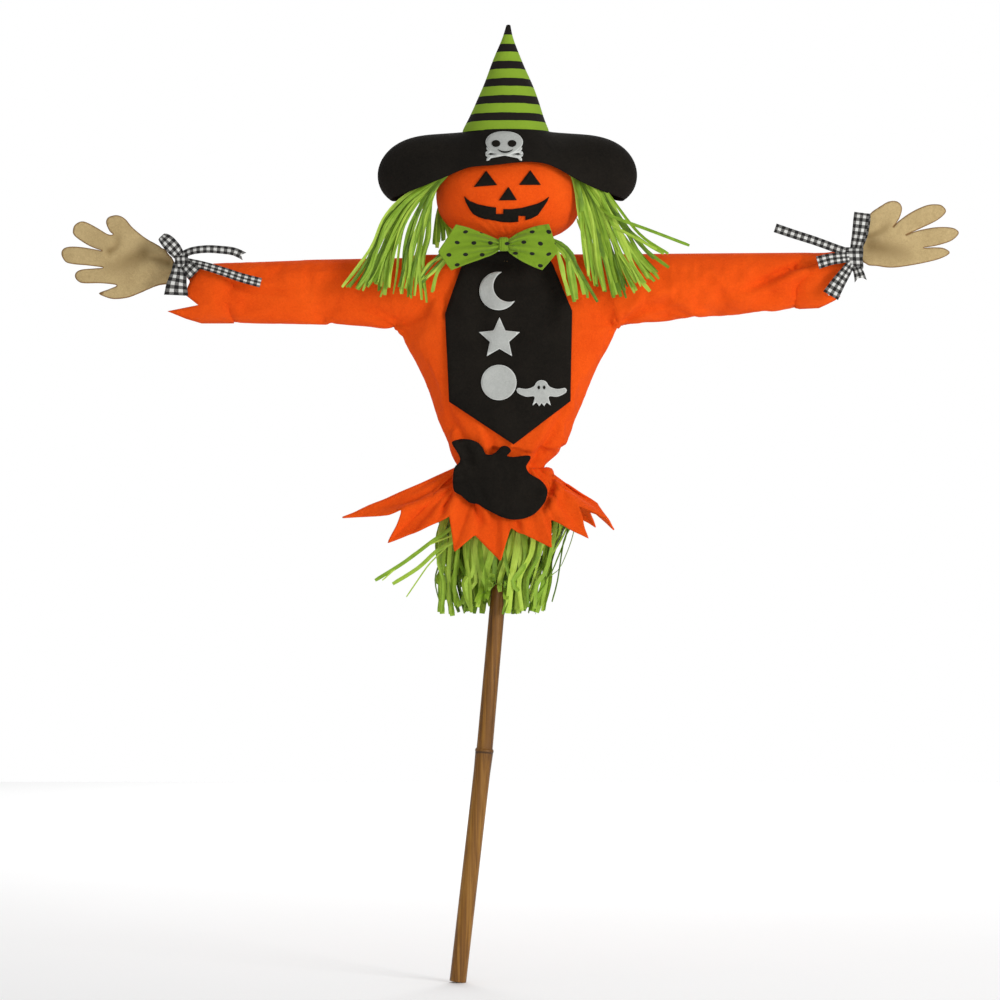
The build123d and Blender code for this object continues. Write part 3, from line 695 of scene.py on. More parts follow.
HEM_FOLDS = [  # as TUNIC_FOLDS
    ([(-4, 524), (-24, 514), (-50, 503), (-84, 494)], 4.0, 7.0),
    ([(-4, 514), (-12, 500), (-18, 486)], 3.6, 7.7),
    ([(16, 500), (22, 488), (28, 474)], 3.6, 7.0),
    ([(98, 516), (93, 504), (84, 486)], 4.0, 6.3),
    ([(62, 480), (66, 466)], 3.5, 4.2),
    ([(100, 526), (126, 512), (148, 494)], 4.0, 4.9),
]


def hem_sheet(name, hem, way):
    """A hem panel: pleated small at the string, and in deeper folds where it hangs free. way is 1 for the
    front panel and -1 for the back one."""
    columns, rows = 220, 26
    verts = []
    first, last = hem[0][0], hem[-1][0]
    for c in range(columns + 1):
        angle = first + (last - first) * c / columns
        k = max(i for i in range(len(hem) - 1) if hem[i][0] <= angle + 1e-6)
        a, b = hem[k], hem[k + 1]
        t = (angle - a[0]) / (b[0] - a[0])
        tip = seen(*Vector(a[1:]).lerp(Vector(b[1:]), t))
        turn = radians(angle)
        waist = Vector((44 + 46 * sin(turn), 8 - 21 * cos(turn), 536))
        out = Vector((sin(turn), -cos(turn), 0))
        small, big = angle * 0.62, angle * 0.135 + 1.3 * ripple(angle * 0.03, len(name), 0)
        for r in range(rows + 1):
            s = r / rows
            p = waist.lerp(tip, s)
            p.z += 1.5 * sin(pi * s) * (1 - abs(sin(turn)))
            pleat = 1.9 * sin(small) * (1 - s) ** 1.5
            fold = 6.0 * sin(big * 2.2) * s ** 0.8 * (1 - 0.35 * s) * abs(cos(turn)) ** 0.5
            bumps = ripple(p.x * 0.06, p.z * 0.06, 3.0) * 2.0 * s
            verts.append(p + out * (pleat + bumps) + Vector((0, way * abs(fold) * -0.5 - fold * 0.5, 0)))
    obj = new_object(name, verts, sheet_faces(columns, rows))
    creases(obj, HEM_FOLDS)
    return thicken(obj, 1.7)


hem_front = hem_sheet("hem_front_felt", HEM_FRONT, 1)
hem_back = hem_sheet("hem_back_felt", HEM_BACK, -1)
skirt_tree = tree_of(tunic, hem_front)
dress(hem_front, orange_felt, "figure", "orange_felt", "hem_front")
dress(hem_back, orange_felt, "figure", "orange_felt", "hem_back")

# twine drawn so tight that the gathered felt closes over most of it
TWINE = {  # node: (piece, middle x, middle y, half width, half depth, height of its first turn)
    "waist_string": ("waist_twine", 44, 8, 43.2, 18.2, 534.6),
    "skirt_binding": ("skirt_twine", 46, 5, 27, 14, 539),
}
for node, (name, x, y, half, deep, low) in TWINE.items():
    rings = []
    for k in range(97):
        a = 4 * pi * k / 96
        centre = Vector((x + half * sin(a), y - deep * cos(a), low + 1.7 * k / 96 + 0.3 * sin(a * 7)))
        rings.append(oval(centre, 0.9, 0.9, (sin(a), -cos(a), 0), (0, 0, 1), 8))
    dress(loft(name, rings), string, "figure", "twine", node)

# loose points of felt beyond the gathered cuffs
CUFFS = {
    "cuff_left": [
        (-234, 749), (-262, 749), (-272, 743.3), (-279.5, 732), (-282.5, 725), (-283.5, 716.5),
        (-271, 706.7), (-303.2, 700.2), (-284.3, 692.7), (-267.6, 688), (-234, 688),
    ],
    "cuff_right": [
        (352, 760), (383, 760), (400, 757), (408, 752.4), (406.6, 745.4), (401, 737), (392.6, 728.6),
        (385.6, 720.2), (383, 717), (399.6, 715.6), (394, 711.8), (385.6, 707.6), (377.2, 703.9),
        (357, 703), (352, 704),
    ],
}
CUFF_SHAPE = {  # (middle height, half height, half depth of the sleeve at each distance from x = 0)
    "cuff_left": (720.5, 31.5, [(0, 13), (234, 13), (246, 20), (256, 21.5), (266, 20), (283, 14), (304, 10)]),
    "cuff_right": (733.0, 30.0, [(0, 12), (352, 12), (364, 18.5), (374, 20),
        (388, 17.5), (410, 12), (420, 11)]),
}
for name, corners in CUFFS.items():
    middle, half, depths = CUFF_SHAPE[name]
    flat, faces, edge = fill(straight(corners, 3), 3.5)
    for face_name, way in (("front", -1), ("back", 1)):
        verts = []
        for v in flat:
            near, far = next((p, q) for p, q in zip(depths, depths[1:]) if abs(v.x) <= q[0])
            depth = near[1] + (far[1] - near[1]) * (abs(v.x) - near[0]) / (far[0] - near[0])
            round_off = sqrt(max(0.0, 1 - ((v.y - middle) / half) ** 2))
            depth *= round_off + 0.05 * ripple(v.x * 0.06, v.y * 0.06, way)
            verts.append(seen(v.x, SLEEVE_Y + way * depth, v.y))
        cuff = new_object(f"{name}_{face_name}", verts, faces)
        add_tone(cuff, "edge", edge)
        dress(thicken(cuff, 1.3), orange_felt, "figure", "orange_felt")

# ---- bib, motifs and waist patch ----
BIB = [
    (26, 763), (12, 758), (3.3, 745.6), (-13.4, 697.6), (-9, 605.7), (58.1, 561.2), (117.5, 606.4),
    (119.3, 700.8), (99.4, 748.9), (94, 757), (78, 763),
]
bib = plate("bib_felt", straight(BIB, 3), tunic_tree, 3.0, 1.4, 5, fallback=-9, spread=4, rough=1.5)
bib_tree = tree_of(bib)
dress(bib, black_felt, "figure", "black_felt", "bib_panel")


def star(x, z, outer, inner):
    return [(x + r * sin(pi * k / 5), z + r * cos(pi * k / 5)) for k, r in enumerate([outer, inner] * 5)]


def arc(x, z, r, start, end, count):
    turns = [radians(start + (end - start) * k / (count - 1)) for k in range(count)]
    return [(x + r * cos(a), z + r * sin(a)) for a in turns]


MOTIFS = {
    "bib_moon": straight([*arc(42.4, 721.4, 20, 80, 329, 30), *arc(53.5, 726.5, 16.5, 289, 120, 20)], 2),
    "bib_star": straight(star(43.4, 671.5, 22.5, 10.5), 2),
    "bib_disc": spline(arc(42.8, 625.8, 18.5, 0, 330, 12), 2, True),
    "bib_ghost": spline([
        (78, 602), (80, 611), (71, 611), (62, 615.5), (62.5, 620), (71, 619), (79, 621.5), (82.5, 626.5),
        (87.4, 628.3), (92.3, 626.5), (95.8, 621.5), (104, 619), (112.3, 620), (113, 615.5), (104, 611),
        (95, 611), (97, 602), (92.6, 605), (90, 601), (87.4, 604.5), (84.8, 601), (82.2, 605),
    ], 2, True),
}
for name, outline in MOTIFS.items():
    motif = plate(f"{name}_felt", outline, bib_tree, 1.2, 0.8, 2)
    dress(motif, grey_felt, "figure", "grey_felt", name)
ghost_eyes = []
for x in (84.6, 90.2):
    eye = [(x + 1.5 * cos(a), 620.6 + 2.1 * sin(a)) for a in (0, 1.57, 3.14, 4.71)]
    ghost_eyes.append(plate("eye", spline(eye, 0.8, True), bib_tree, 1.9, 0.4, 1))
dress(join("bib_ghost_eyes", ghost_eyes), black_felt, "figure", "black_felt")

PATCH = [
    (-6.2, 563.2), (4.9, 566.4), (14.4, 565.7), (21.6, 562.4), (26.4, 556.5), (28.8, 551), (33.6, 550.1),
    (39.6, 552.8), (45.7, 558.9), (51.6, 558.9), (55.6, 554.6), (51.1, 549.2), (57.7, 548), (73.3, 549.6),
    (76, 546.8), (72, 540.3), (71.5, 536.1), (75.7, 530), (86.4, 523.4), (92.5, 516.2), (93.6, 510.3),
    (91.2, 501.8), (84, 492.3), (74.4, 485.6), (62.5, 482.7), (50.5, 483.8), (38.5, 488.6), (27.7, 494.6),
    (20.5, 498.9), (13.3, 500), (2.5, 508.4), (-3.6, 512.1), (-5.3, 523.4), (-3.6, 536.6), (1.9, 542.7),
    (1.3, 549.8),
]
patch = plate("waist_patch_felt", spline(PATCH, 2.5, True), skirt_tree, 4.8, 1.4, 4, spread=14, rough=1.5)
dress(patch, black_felt, "figure", "black_felt", "waist_patch")


# ---- head ----
def head_form():
    """A stuffed ball of felt, a little flat at the top and drawn in where it is tied at the neck."""
    rings = []
    profile = [
        (766, 9, 9), (772, 13, 12), (775.5, 30, 22), (782, 51, 36), (794, 67, 47), (811, 75, 52.5),
        (828, 76, 54), (845, 73, 52), (860, 63, 45), (871, 46, 34), (879, 24, 18), (881.5, 6, 5),
    ]
    for z, half, deep in spline(profile, 5):
        rings.append(oval((MID + 1.3, 0, z), half - 2, deep - 2, (1, 0, 0), (0, 1, 0), 48))
    return loft("head", rings)


head = head_form()
settle(head, 4.2, 3.0, 5, grow=0.03, pin=lambda p: 1.0 if p.z < 774 else 0.0)
gathers(head, (53, 768), 22, 24, 2.2, 9.0)
head_tree = tree_of(head)
dress(head, orange_felt, "head", "orange_felt", "head_front", "head_back", "head_filling")

FACE = {
    "eye_left": [(29.6, 847.1), (16.9, 830.3), (41, 832.1)],
    "eye_right": [(75.6, 847.5), (64, 832.3), (86.5, 832.3)],
    "nose": [(52.8, 830.3), (42.7, 816.1), (61.6, 816.4)],
    "mouth": [
        (6.6, 820.2), (12, 815.5), (21.5, 811.8), (30, 810), (39.9, 808.6), (39.9, 801.8), (47.5, 801.8),
        (47.5, 807), (56, 806.8), (67.5, 808.4), (75, 810.4), (83.5, 812.8), (90, 816), (95.1, 819.8),
        (93.5, 815.5), (90.5, 810.9), (83.5, 800.8), (77, 797.3), (70.5, 795.4), (70.5, 799.9),
        (63.1, 799.9), (63.1, 794), (55.4, 793.2), (45, 793.8), (37.5, 795.3), (28, 796.8), (21.5, 798.9),
        (16, 802), (12.5, 806.7), (8.5, 814),
    ],
}
for name, corners in FACE.items():
    feature = plate(f"{name}_felt", straight(corners, 1.5), head_tree, 1.0, 1.2, 2.5, fallback=-45)
    dress(feature, black_felt, "head", "black_felt", name)

# ---- hat ----
HAT_Z = 886.0  # where the cone meets the brim
CONE = [  # (radius, height above the brim)
    (45.6, 0.5), (44.8, 4), (39.5, 16), (33.4, 31), (26.6, 48), (19.6, 65), (12.6, 82), (6.6, 97),
    (3.9, 106), (2.7, 111), (2.2, 113.1), (0.8, 113.7),
]


def hat_cone():
    rings = []
    for r, up in spline(CONE, 2.5):
        middle = MID - 1.4 + up * 0.024 + 0.9 * sin(up * 0.05)
        ring = []
        for k in range(56):
            a = 2 * pi * k / 56
            dent = 1 + 0.045 * ripple(cos(a) * 1.3, sin(a) * 1.3, up * 0.03)
            ring.append(Vector((middle + r * dent * cos(a), r * dent * 0.94 * sin(a), HAT_Z + up)))
        rings.append(ring)
    inner = []
    for ring in rings[::-1][4:]:
        inner.append([Vector((MID + (p.x - MID) * 0.96, p.y * 0.96, p.z - 0.5)) for p in ring])
    return loft("hat_cone_felt", rings + inner, closed_ends=False)


cone = hat_cone()
dress(cone, striped_felt, "head", "striped_felt", "hat_cone")

BRIM_FRONT, BRIM_SIDE, BRIM_HALF = 42.0, 142.0, (135.0, 60.0)


def brim_line(angle, rows):
    """Points down the brim: short and steep in front and behind, long and drooping at the sides."""
    turn = radians(angle)
    rim = 1 / hypot(sin(turn) / BRIM_HALF[0], cos(turn) / BRIM_HALF[1])
    side = max(0.0, (rim - BRIM_HALF[1]) / (BRIM_HALF[0] - BRIM_HALF[1])) ** 1.8
    width = BRIM_FRONT + (BRIM_SIDE - BRIM_FRONT) * side
    width *= 1 + 0.02 * ripple(angle * 0.03, 2, 0)
    r, z, line = 43.6, HAT_Z + 0.6, []
    for k in range(rows + 1):
        wave = ripple(sin(turn) * 2.2, cos(turn) * 2.2, k / rows * 1.5) * 3.2 * k / rows
        droop = 3.0 * sin(2 * turn) * max(0.0, cos(turn)) * k / rows
        out = r + wave * 0.5
        line.append(Vector((MID + out * sin(turn), -out * cos(turn), z + wave * 0.4 + droop)))
        share = max(0.0, (k / rows - 0.2) / 0.8)
        front, wing = 60 - 22 * side, 4 + 148 * share**1.75
        slope = radians(front + (wing - front) * side)
        r += width / rows * cos(slope)
        z -= width / rows * sin(slope)
    return line


brim_rows, brim_columns = 40, 168
verts, faces = [], []
for c in range(brim_columns):
    verts += brim_line(360 * c / brim_columns, brim_rows)
for c in range(brim_columns):
    for r in range(brim_rows):
        i, j = c * (brim_rows + 1) + r, (c + 1) % brim_columns * (brim_rows + 1) + r
        faces.append((i, j, j + 1, i + 1))
brim = new_object("hat_brim_felt", verts, faces)
thicken(brim, 1.7)
brim_tree = tree_of(brim)
dress(brim, black_felt, "head", "black_felt", "hat_brim")

SKULL = [
    (48.5, 888), (57, 887.2), (64, 884), (67.6, 879), (67.4, 874), (64, 869.8), (58.5, 866), (53.5, 863.6),
    (48.5, 862.8), (43.5, 863.6), (38.5, 866), (33, 869.8), (29.6, 874), (29.4, 879), (33, 884),
    (40, 887.2),
]
skull = plate("hat_badge_skull", spline(SKULL, 1.5, True), brim_tree, 1.2, 0.8, 2, fallback=-45)
BONE = [  # (along, out from its middle) of one side
    (-17.5, 0.1), (-19.2, 1.5), (-19.5, 3.4), (-17, 3.2), (-14.5, 1.5), (14.5, 1.5), (17, 3.2), (19.5, 3.4),
    (19.2, 1.5), (17.5, 0.1),
]
bones = []
for lean in (-1, 1):
    outline = BONE + [(s, -r) for s, r in BONE[::-1] if r > 0.2]
    c, d = cos(radians(11 * lean)), sin(radians(11 * lean))
    turned = [(48.5 + s * c - r * d, 864.5 + s * d + r * c) for s, r in outline]
    bones.append(plate("bone", straight(turned, 1.5), brim_tree, 0.8 + 0.3 * lean, 0.7, 2, fallback=-45))
badge_tree = tree_of(skull)
holes = []
for x in (39.8, 56.6):
    hole = spline([(x + 4.5 * cos(k * pi / 4), 875.6 + 3.5 * sin(k * pi / 4)) for k in range(8)], 1, True)
    holes.append(plate("hole", hole, badge_tree, 0.6, 0.5, 1.5, fallback=-48))
GRIN = [
    (41.5, 869.6), (45, 866.8), (49.5, 865.8), (54, 866.8), (57.6, 869.4), (53.6, 867.9), (49.5, 867.4),
    (45.4, 868),
]
holes.append(plate("hole", spline(GRIN, 0.8, True), badge_tree, 0.6, 0.5, 0.8, fallback=-48))
dress(join("hat_badge_felt", [skull, *bones]), grey_felt, "head", "grey_felt", "hat_badge")
dress(join("hat_badge_eyes", holes), black_felt, "head", "black_felt")


# ---- raffia ----
def strip(path, width, facing=FRONT, crease=0.25, twist=0.0):
    """One flat strip with a crease down its middle. Returns points, faces, and (across, along) for each
    point."""
    points = spline(path, 7)
    verts, faces, places, along = [], [], [], 0.0
    for i, p in enumerate(points):
        ahead, t = heading(points, i), i / (len(points) - 1)
        side = ahead.cross(Vector(facing)).normalized()
        face = side.cross(ahead).normalized()
        turn = twist * (t - 0.4)
        side = side * cos(turn) + face * sin(turn)
        face = side.cross(ahead)
        half = width / 2 * (0.25 + 0.75 * min(1.0, t * 6, (1 - t) * 9 + 0.75))
        verts += [p - side * half, p + face * crease * half, p + side * half]
        places += [(0.0, along), (0.5, along), (1.0, along)]
        if i + 1 < len(points):
            along += (points[i + 1] - p).length
            k = i * 3
            faces += [(k, k + 1, k + 4, k + 3), (k + 1, k + 2, k + 5, k + 4)]
    return verts, faces, places


def bunch(name, strips):
    """Many strips as one mesh. Each keeps its own shade, and its place across and along for the material."""
    verts, faces, places, tones = [], [], [], []
    for v, f, place in strips:
        start, tone, shift = len(verts), rng.random(), rng.uniform(0, 500)
        verts += v
        faces += [tuple(start + i for i in face) for face in f]
        places += [(across + shift, along + shift) for across, along in place]
        tones += [tone] * len(v)
    obj = new_object(name, verts, faces, smooth=False)
    add_places(obj, places)
    add_tone(obj, "tone", tones)
    return obj


def jitter(amount):
    return Vector([rng.uniform(-amount, amount) for _ in range(3)])


def between(guides, t):
    """A path part of the way through a row of guide paths."""
    place = min(t, 0.999) * (len(guides) - 1)
    k = int(place)
    return [Vector(a).lerp(Vector(b), place - k) for a, b in zip(guides[k], guides[k + 1])]


def hair(guides, locks, each):
    """Locks of a few strips each, fanned through guide paths given as (x, z) from the root to the tip."""
    strips = []
    for lock in range(locks):
        t = (lock + rng.uniform(0.1, 0.9)) / locks
        layer, bend = rng.random(), rng.uniform(-5, 5)
        for _ in range(each):
            stray, phase, curl = rng.uniform(-0.035, 0.035), rng.uniform(0, 6.3), rng.uniform(0.4, 2.6)
            path, last = [], len(guides[0]) - 1
            for step in range(last + 1):
                free = step / last
                p = between(guides, max(0.0, min(1.0, t + stray * (0.5 + 1.6 * free))))[step]
                wave = curl * sin(9 * free + phase) * min(1.0, 2 * free)
                drift = bend * sin(pi * free) * 0.8 + wave + rng.uniform(-2, 2) * free
                p = p + Vector((drift, rng.uniform(-2, 2) * free))
                deep = -23 - 13 * free - layer * (2 + 7 * free) - rng.uniform(0, 2)
                path.append(seen(p.x, deep, p.y))
            path[-1] = path[-2].lerp(path[-1], rng.uniform(0.5, 1.15))
            width, crease, twist = rng.uniform(2.6, 4.6), rng.uniform(-0.7, 0.7), rng.uniform(-1.8, 1.8)
            strips.append(strip(path, width, FRONT, crease, twist))
    return strips


GUIDES_LEFT = [
    [(-9, 844), (-35, 833), (-62, 816), (-80, 796), (-91, 769), (-104, 744), (-119, 727.5)],
    [(-9, 844), (-29, 831), (-51, 812), (-68, 787), (-80, 762), (-90, 740), (-99, 723)],
    [(-9, 844), (-25, 832), (-42, 814), (-55, 792), (-65, 767), (-70, 742), (-75, 717)],
    [(-9, 843), (-22, 832), (-33, 815), (-42, 792), (-49, 767), (-53, 741), (-55, 717)],
    [(-9, 843), (-18, 835), (-23, 823), (-26, 803), (-29, 778), (-35, 750), (-30, 712)],
]
GUIDES_BEHIND = [
    [(-17, 818), (-22, 800), (-25, 782), (-27, 764)],
    [(-16, 816), (-17, 800), (-14, 786), (-13, 770)],
    [(-15, 812), (-12, 800), (-6, 791), (2, 783)],
]
GUIDES_RIGHT = [
    [(114, 848), (121, 840), (127, 824), (131, 802), (134, 772), (136, 748), (138, 728)],
    [(114, 848), (124, 840), (134, 823), (141, 800), (148, 771), (153, 745), (160, 718)],
    [(114, 848), (127, 841), (139, 825), (150, 801), (160, 772), (170, 744), (181, 718)],
    [(114, 848), (130, 843), (145, 828), (160, 804), (175, 777), (190, 752), (209, 727)],
    [(114, 848), (134, 844), (151, 832), (166, 812), (181, 792), (198, 775), (219, 761)],
]
HAIR_LEFT = hair(GUIDES_LEFT, 15, 3)
HAIR_RIGHT = hair(GUIDES_RIGHT, 14, 3)
for k in range(9):
    points = between(GUIDES_BEHIND, (k + rng.random()) / 9)
    path = [seen(p.x, 6 - 5 * i - k % 3, p.y) for i, p in enumerate(points)]
    path[-1] = path[-2].lerp(path[-1], rng.uniform(0.5, 1.1))
    HAIR_LEFT.append(strip(path, rng.uniform(3, 4.6), crease=0.4, twist=0.4))
STRAYS = [  # (points, width) of single strips
    ([(122, -30, 842), (127, -33, 826), (130, -34, 804.4)], 4.8),
    ([(148, -34, 810), (160, -42, 800), (200, -47, 785), (242, -44, 769)], 3.4),
    ([(160, -38, 790), (178, -42, 781), (198, -44, 770), (208, -44, 765)], 2.8),
    ([(124, -30, 798), (130, -34, 782), (134, -36, 768)], 2.4),
]
HAIR_RIGHT += [strip([seen(*p) for p in points], width, twist=0.5) for points, width in STRAYS]
hair_left = bunch("hair_left_raffia", HAIR_LEFT)
hair_right = bunch("hair_right_raffia", HAIR_RIGHT)
for obj, node in ((hair_left, "hair_left"), (hair_right, "hair_right")):
    obj.data.materials.append(raffia_strip)
    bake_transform(obj)
    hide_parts(node)

for name, x in (("hair_knot_left", -14.0), ("hair_knot_right", 118.0)):
    turns = []
    for k in range(5):
        a = k * 0.63
        ring = []
        for i in range(11):
            t = 2 * pi * i / 10
            tall = 4.6 * sin(t) * sin(a + 0.6) + 1.2 * cos(t)
            ring.append(Vector((x, -24, 846)) + Vector((5.2 * cos(t), 5.2 * sin(t) * cos(a), tall)))
        turns.append(strip(ring, 4.2, facing=(0.2, -1, 0.3)))
    dress(bunch(f"{name}_raffia", turns), raffia_strip, "head", "raffia", name)

COLLARS = {
    "collar_raffia_left": [
        [(18, 776), (-2, 772), (-19, 758), (-31, 747), (-42, 732)],
        [(20, 775), (-2, 769), (-17, 752), (-28, 742), (-38, 731)],
        [(22, 774), (0, 768), (-14, 752), (-22, 738), (-26, 722)],
    ],
    "collar_raffia_right": [
        [(90, 776), (106, 768), (113, 757), (117, 742), (121, 711)],
        [(92, 777), (107, 769), (115, 754), (122, 737), (126, 712)],
        [(94, 778), (108, 770), (118, 760), (127, 744), (146, 711.5)],
        [(92, 776), (104, 762), (109, 745), (113, 730), (116, 718)],
        [(96, 774), (112, 762), (122, 745), (129, 730), (131, 716)],
        [(98, 772), (115, 756), (127, 738), (135, 725), (134, 716)],
    ],
}
for name, guides in COLLARS.items():
    strips = []
    for guide in [*guides, *guides]:
        path = []
        for i, (x, z) in enumerate(guide):
            path.append(seen(x + rng.uniform(-1.6, 1.6), -33 - 1.4 * i, z + rng.uniform(-2, 2)))
        strips.append(strip(path, rng.uniform(2.6, 4.4), crease=0.3, twist=rng.uniform(-1, 1)))
    dress(bunch(f"{name}_strips", strips), raffia_strip, "figure", "raffia", name)

SKIRT_SPLAY = [  # (points, width) of the strips that stand out at the left
    ([(10, 490), (-9, 472), (-27, 459.7), (-56, 438), (-86.5, 419)], 4.0),
    ([(6, 470), (-40, 451), (-79, 419)], 1.6),
    ([(8, 466), (-9, 457), (-23, 449), (-42, 431.7), (-68.2, 415.3)], 4.2),
    ([(-10, 455), (-28.6, 437.5), (-40, 422), (-53.8, 401.7)], 1.5),
]
strips = [strip([seen(x, -22, z) for x, z in points], width, twist=0.5) for points, width in SKIRT_SPLAY]
for k in range(140):
    a = 2 * pi * (k * 0.618 % 1.0)
    depth = rng.uniform(0.2, 1.0) ** 0.5
    lean, sway = rng.uniform(-1, 1), rng.uniform(-5, 5)
    top = Vector((46 + 24 * sin(a), 5 - 11 * cos(a), 547 - 8 * rng.random()))
    neck = Vector((46 + 36 * sin(a), 5 - 15 * cos(a), 520))
    wide = Vector((50 + 72 * depth * sin(a), 5 - 23 * depth * cos(a), 490 + rng.uniform(-12, 6)))
    knee_x, knee_z = 43 + 66 * depth * sin(a) + 7 * lean + sway, 448 + rng.uniform(-16, 16)
    knee = Vector((knee_x, 5 - 26 * depth * cos(a), knee_z))
    shin = Vector((39 + 62 * depth * sin(a) + 10 * lean - sway * 0.6, 5 - 27 * depth * cos(a), 418))
    low_z = 387 + 9 * ripple(a * 3, 0, 7)
    low = Vector((37 + 56 * depth * sin(a) + 14 * lean, 5 - 27 * depth * cos(a), low_z))
    low.z += rng.choice((0, 0, 0, 0, 3, 6, 12, 24))
    if abs(low.x - 40) < 9 and low.y < 5:
        low.z += 20
    if hypot(low.x - 36, low.y) < 19:
        low.y += 17 if low.y > 0 else -17
        low.z += 10
    path = [top, neck, wide, knee + jitter(4), shin + jitter(3), low + jitter(2)]
    look = (sin(a) * 0.5, -cos(a), 0)
    strips.append(strip(path, rng.uniform(3.8, 7.2), look, rng.uniform(-0.5, 0.5), rng.uniform(-1.4, 1.4)))
skirt = bunch("raffia_skirt_strips", strips)
dress(skirt, raffia_strip, "figure", "raffia", "raffia_skirt")


# ---- bow ----
def bow_wing(name, top, low, end):
    """One wing of the bow. top and low run from the knot to the wing's outer corners, and end is how far
    its end stands out between them."""
    top, low = spline(top, 1.5), spline(low, 1.5)
    columns, rows = 36, 26
    verts = []
    for c in range(columns + 1):
        t = c / columns
        a = top[min(len(top) - 1, round(t * (len(top) - 1)))]
        b = low[min(len(low) - 1, round(t * (len(low) - 1)))]
        for r in range(rows + 1):
            s = r / rows
            p = a.lerp(b, s)
            p.x += end * min(s / 0.6, (1 - s) / 0.4) * t**3
            fold = 4.6 * sin(s * 17 + 0.8 * sin(t * 4)) * (1 - t) ** 0.7 * min(1.0, t * 4 + 0.25)
            fold += 1.2 * sin(s * 41 + t * 3) * (1 - t) ** 2.2
            swell = 2.4 * sin(pi * s) * sin(pi * min(1.0, t * 1.15)) + 1.5 * ripple(p.x * 0.05, p.y * 0.05, 1)
            nod = 5 * t * (1 - s) ** 1.5
            verts.append(seen(p.x, -49 + min(fold, 1.5) - swell - nod, p.y))
    return thicken(new_object(name, verts, sheet_faces(columns, rows)), 0.9)


BOW_WINGS = {  # top edge, lower edge, and how far the end stands out between them
    "bow_wing_left": (
        [(44, 774), (35.7, 778), (23.4, 783), (11, 787.5), (-2, 791)],
        [(44, 765), (35.7, 759.5), (23.4, 754.5), (8, 749), (-7, 743)], -16,
    ),
    "bow_wing_right": (
        [(51.5, 774), (58, 779), (66, 783.5), (79.1, 788.5), (95, 791.5)],
        [(51.5, 764), (57, 759), (66, 753), (77, 747.5), (88.2, 743.2)], 14,
    ),
}
for name, (top, low, end) in BOW_WINGS.items():
    dress(bow_wing(f"{name}_cloth", top, low, end), bow_cloth, "figure", "bow_cloth", name)
BOW_KNOT = [  # (z, half width, half depth)
    (763, 3.6, 2.4), (764, 5.0, 3.8), (767, 5.2, 4.4), (771, 5.6, 4.6), (775, 5.4, 4.2), (777, 4.6, 3.2),
    (777.6, 3.4, 2),
]
rings = []
for z, half, deep in BOW_KNOT:
    ring = oval(seen(47.8, -50, z), half, deep, (1, 0, 0), (0, 1, 0), 40)
    rings.append([p + Vector((0, 0.6 * sin((p.x - 47) * 2.6), 0)) for p in ring])
dress(loft("bow_knot_cloth", rings), bow_cloth, "figure", "bow_cloth", "bow_knot")


# ---- ribbons ----
ACROSS = 8  # faces across a ribbon
CHECK_START = 3.6  # how far into the check its edge is, in millimetres
BAND_WIDE = 16  # the band round each wrist


def ribbon(name, path, width, facing=FRONT, fork=False, across_way=None):
    """A strip of checked ribbon, whose U and V are millimetres across and along it. width is at its start
    and its end. fork cuts a notch in its end. across_way is the way across a loop, which is widest at its
    middle, or with fork narrows again at its tip."""
    points = spline([seen(*p) for p in path], 1.6)
    verts, places, along = [], [], 0.0
    look, checked = Vector(facing), 10.8 if width[1] < 10 else 18
    for i, p in enumerate(points):
        ahead, t = heading(points, i), i / (len(points) - 1)
        side = Vector(across_way).normalized() if across_way else ahead.cross(look).normalized()
        bulge = abs(sin(2 * pi * t)) if fork else sin(pi * t)
        wide = width[0] + (width[1] - width[0]) * (bulge**0.6 if across_way else t)
        for k in range(ACROSS + 1):
            s = k / ACROSS - 0.5
            notch = Vector()
            if fork and not across_way:
                notch = ahead * (abs(s) - 0.5) * wide * 0.9 * max(0.0, (t - 0.8) / 0.2)
            verts.append(p + side * wide * s + notch + look * 0.35 * sin(s * 7 + i * 0.12))
            places.append((CHECK_START + k / ACROSS * checked, along - notch.length))
        if i + 1 < len(points):
            along += (points[i + 1] - p).length
    obj = new_object(name, verts, sheet_faces(len(points) - 1, ACROSS))
    add_places(obj, places)
    return thicken(obj, 0.45)


def band(name, x, z):
    """Ribbon wound round the wrist, its turns drawn tight."""
    turns = []
    for k in range(19):
        a = 2 * pi * k / 18 * 1.06
        turns.append(Vector((x + 0.6 * sin(a * 2), ARM_Y + 8.0 * sin(a), z + 8.2 * cos(a))))
    points, verts, places = spline(turns, 2), [], []
    for i, p in enumerate(points):
        for k in range(ACROSS + 1):
            s = k / ACROSS - 0.5
            pull = 1 + 0.10 * cos(s * pi * 5 + i * 0.3) - 0.18 * cos(s * pi) ** 2
            verts.append(Vector((p.x + s * BAND_WIDE, ARM_Y + (p.y - ARM_Y) * pull, z + (p.z - z) * pull)))
            places.append((CHECK_START + k / ACROSS * 18, i * 2.0))
    obj = new_object(name, verts, sheet_faces(len(points) - 1, ACROSS))
    add_places(obj, places)
    return thicken(obj, 0.6, 1)


def knot(name, x, z, wide, tall, front):
    """A knot: one turn of ribbon drawn over the rest, puckered at both sides. front is how far forward it
    comes."""
    path = []
    for k in range(13):
        a = 2 * pi * k / 12
        path.append((x + 0.5 * sin(k), (4 + front) / 2 + (4 - front) / 2 * cos(a), z + tall / 2 * sin(a)))
    return ribbon(name, path, (wide, wide), across_way=(1, 0, 0))


def tie(obj, *nodes):
    dress(obj, gingham_cloth, "figure", "gingham", *nodes)


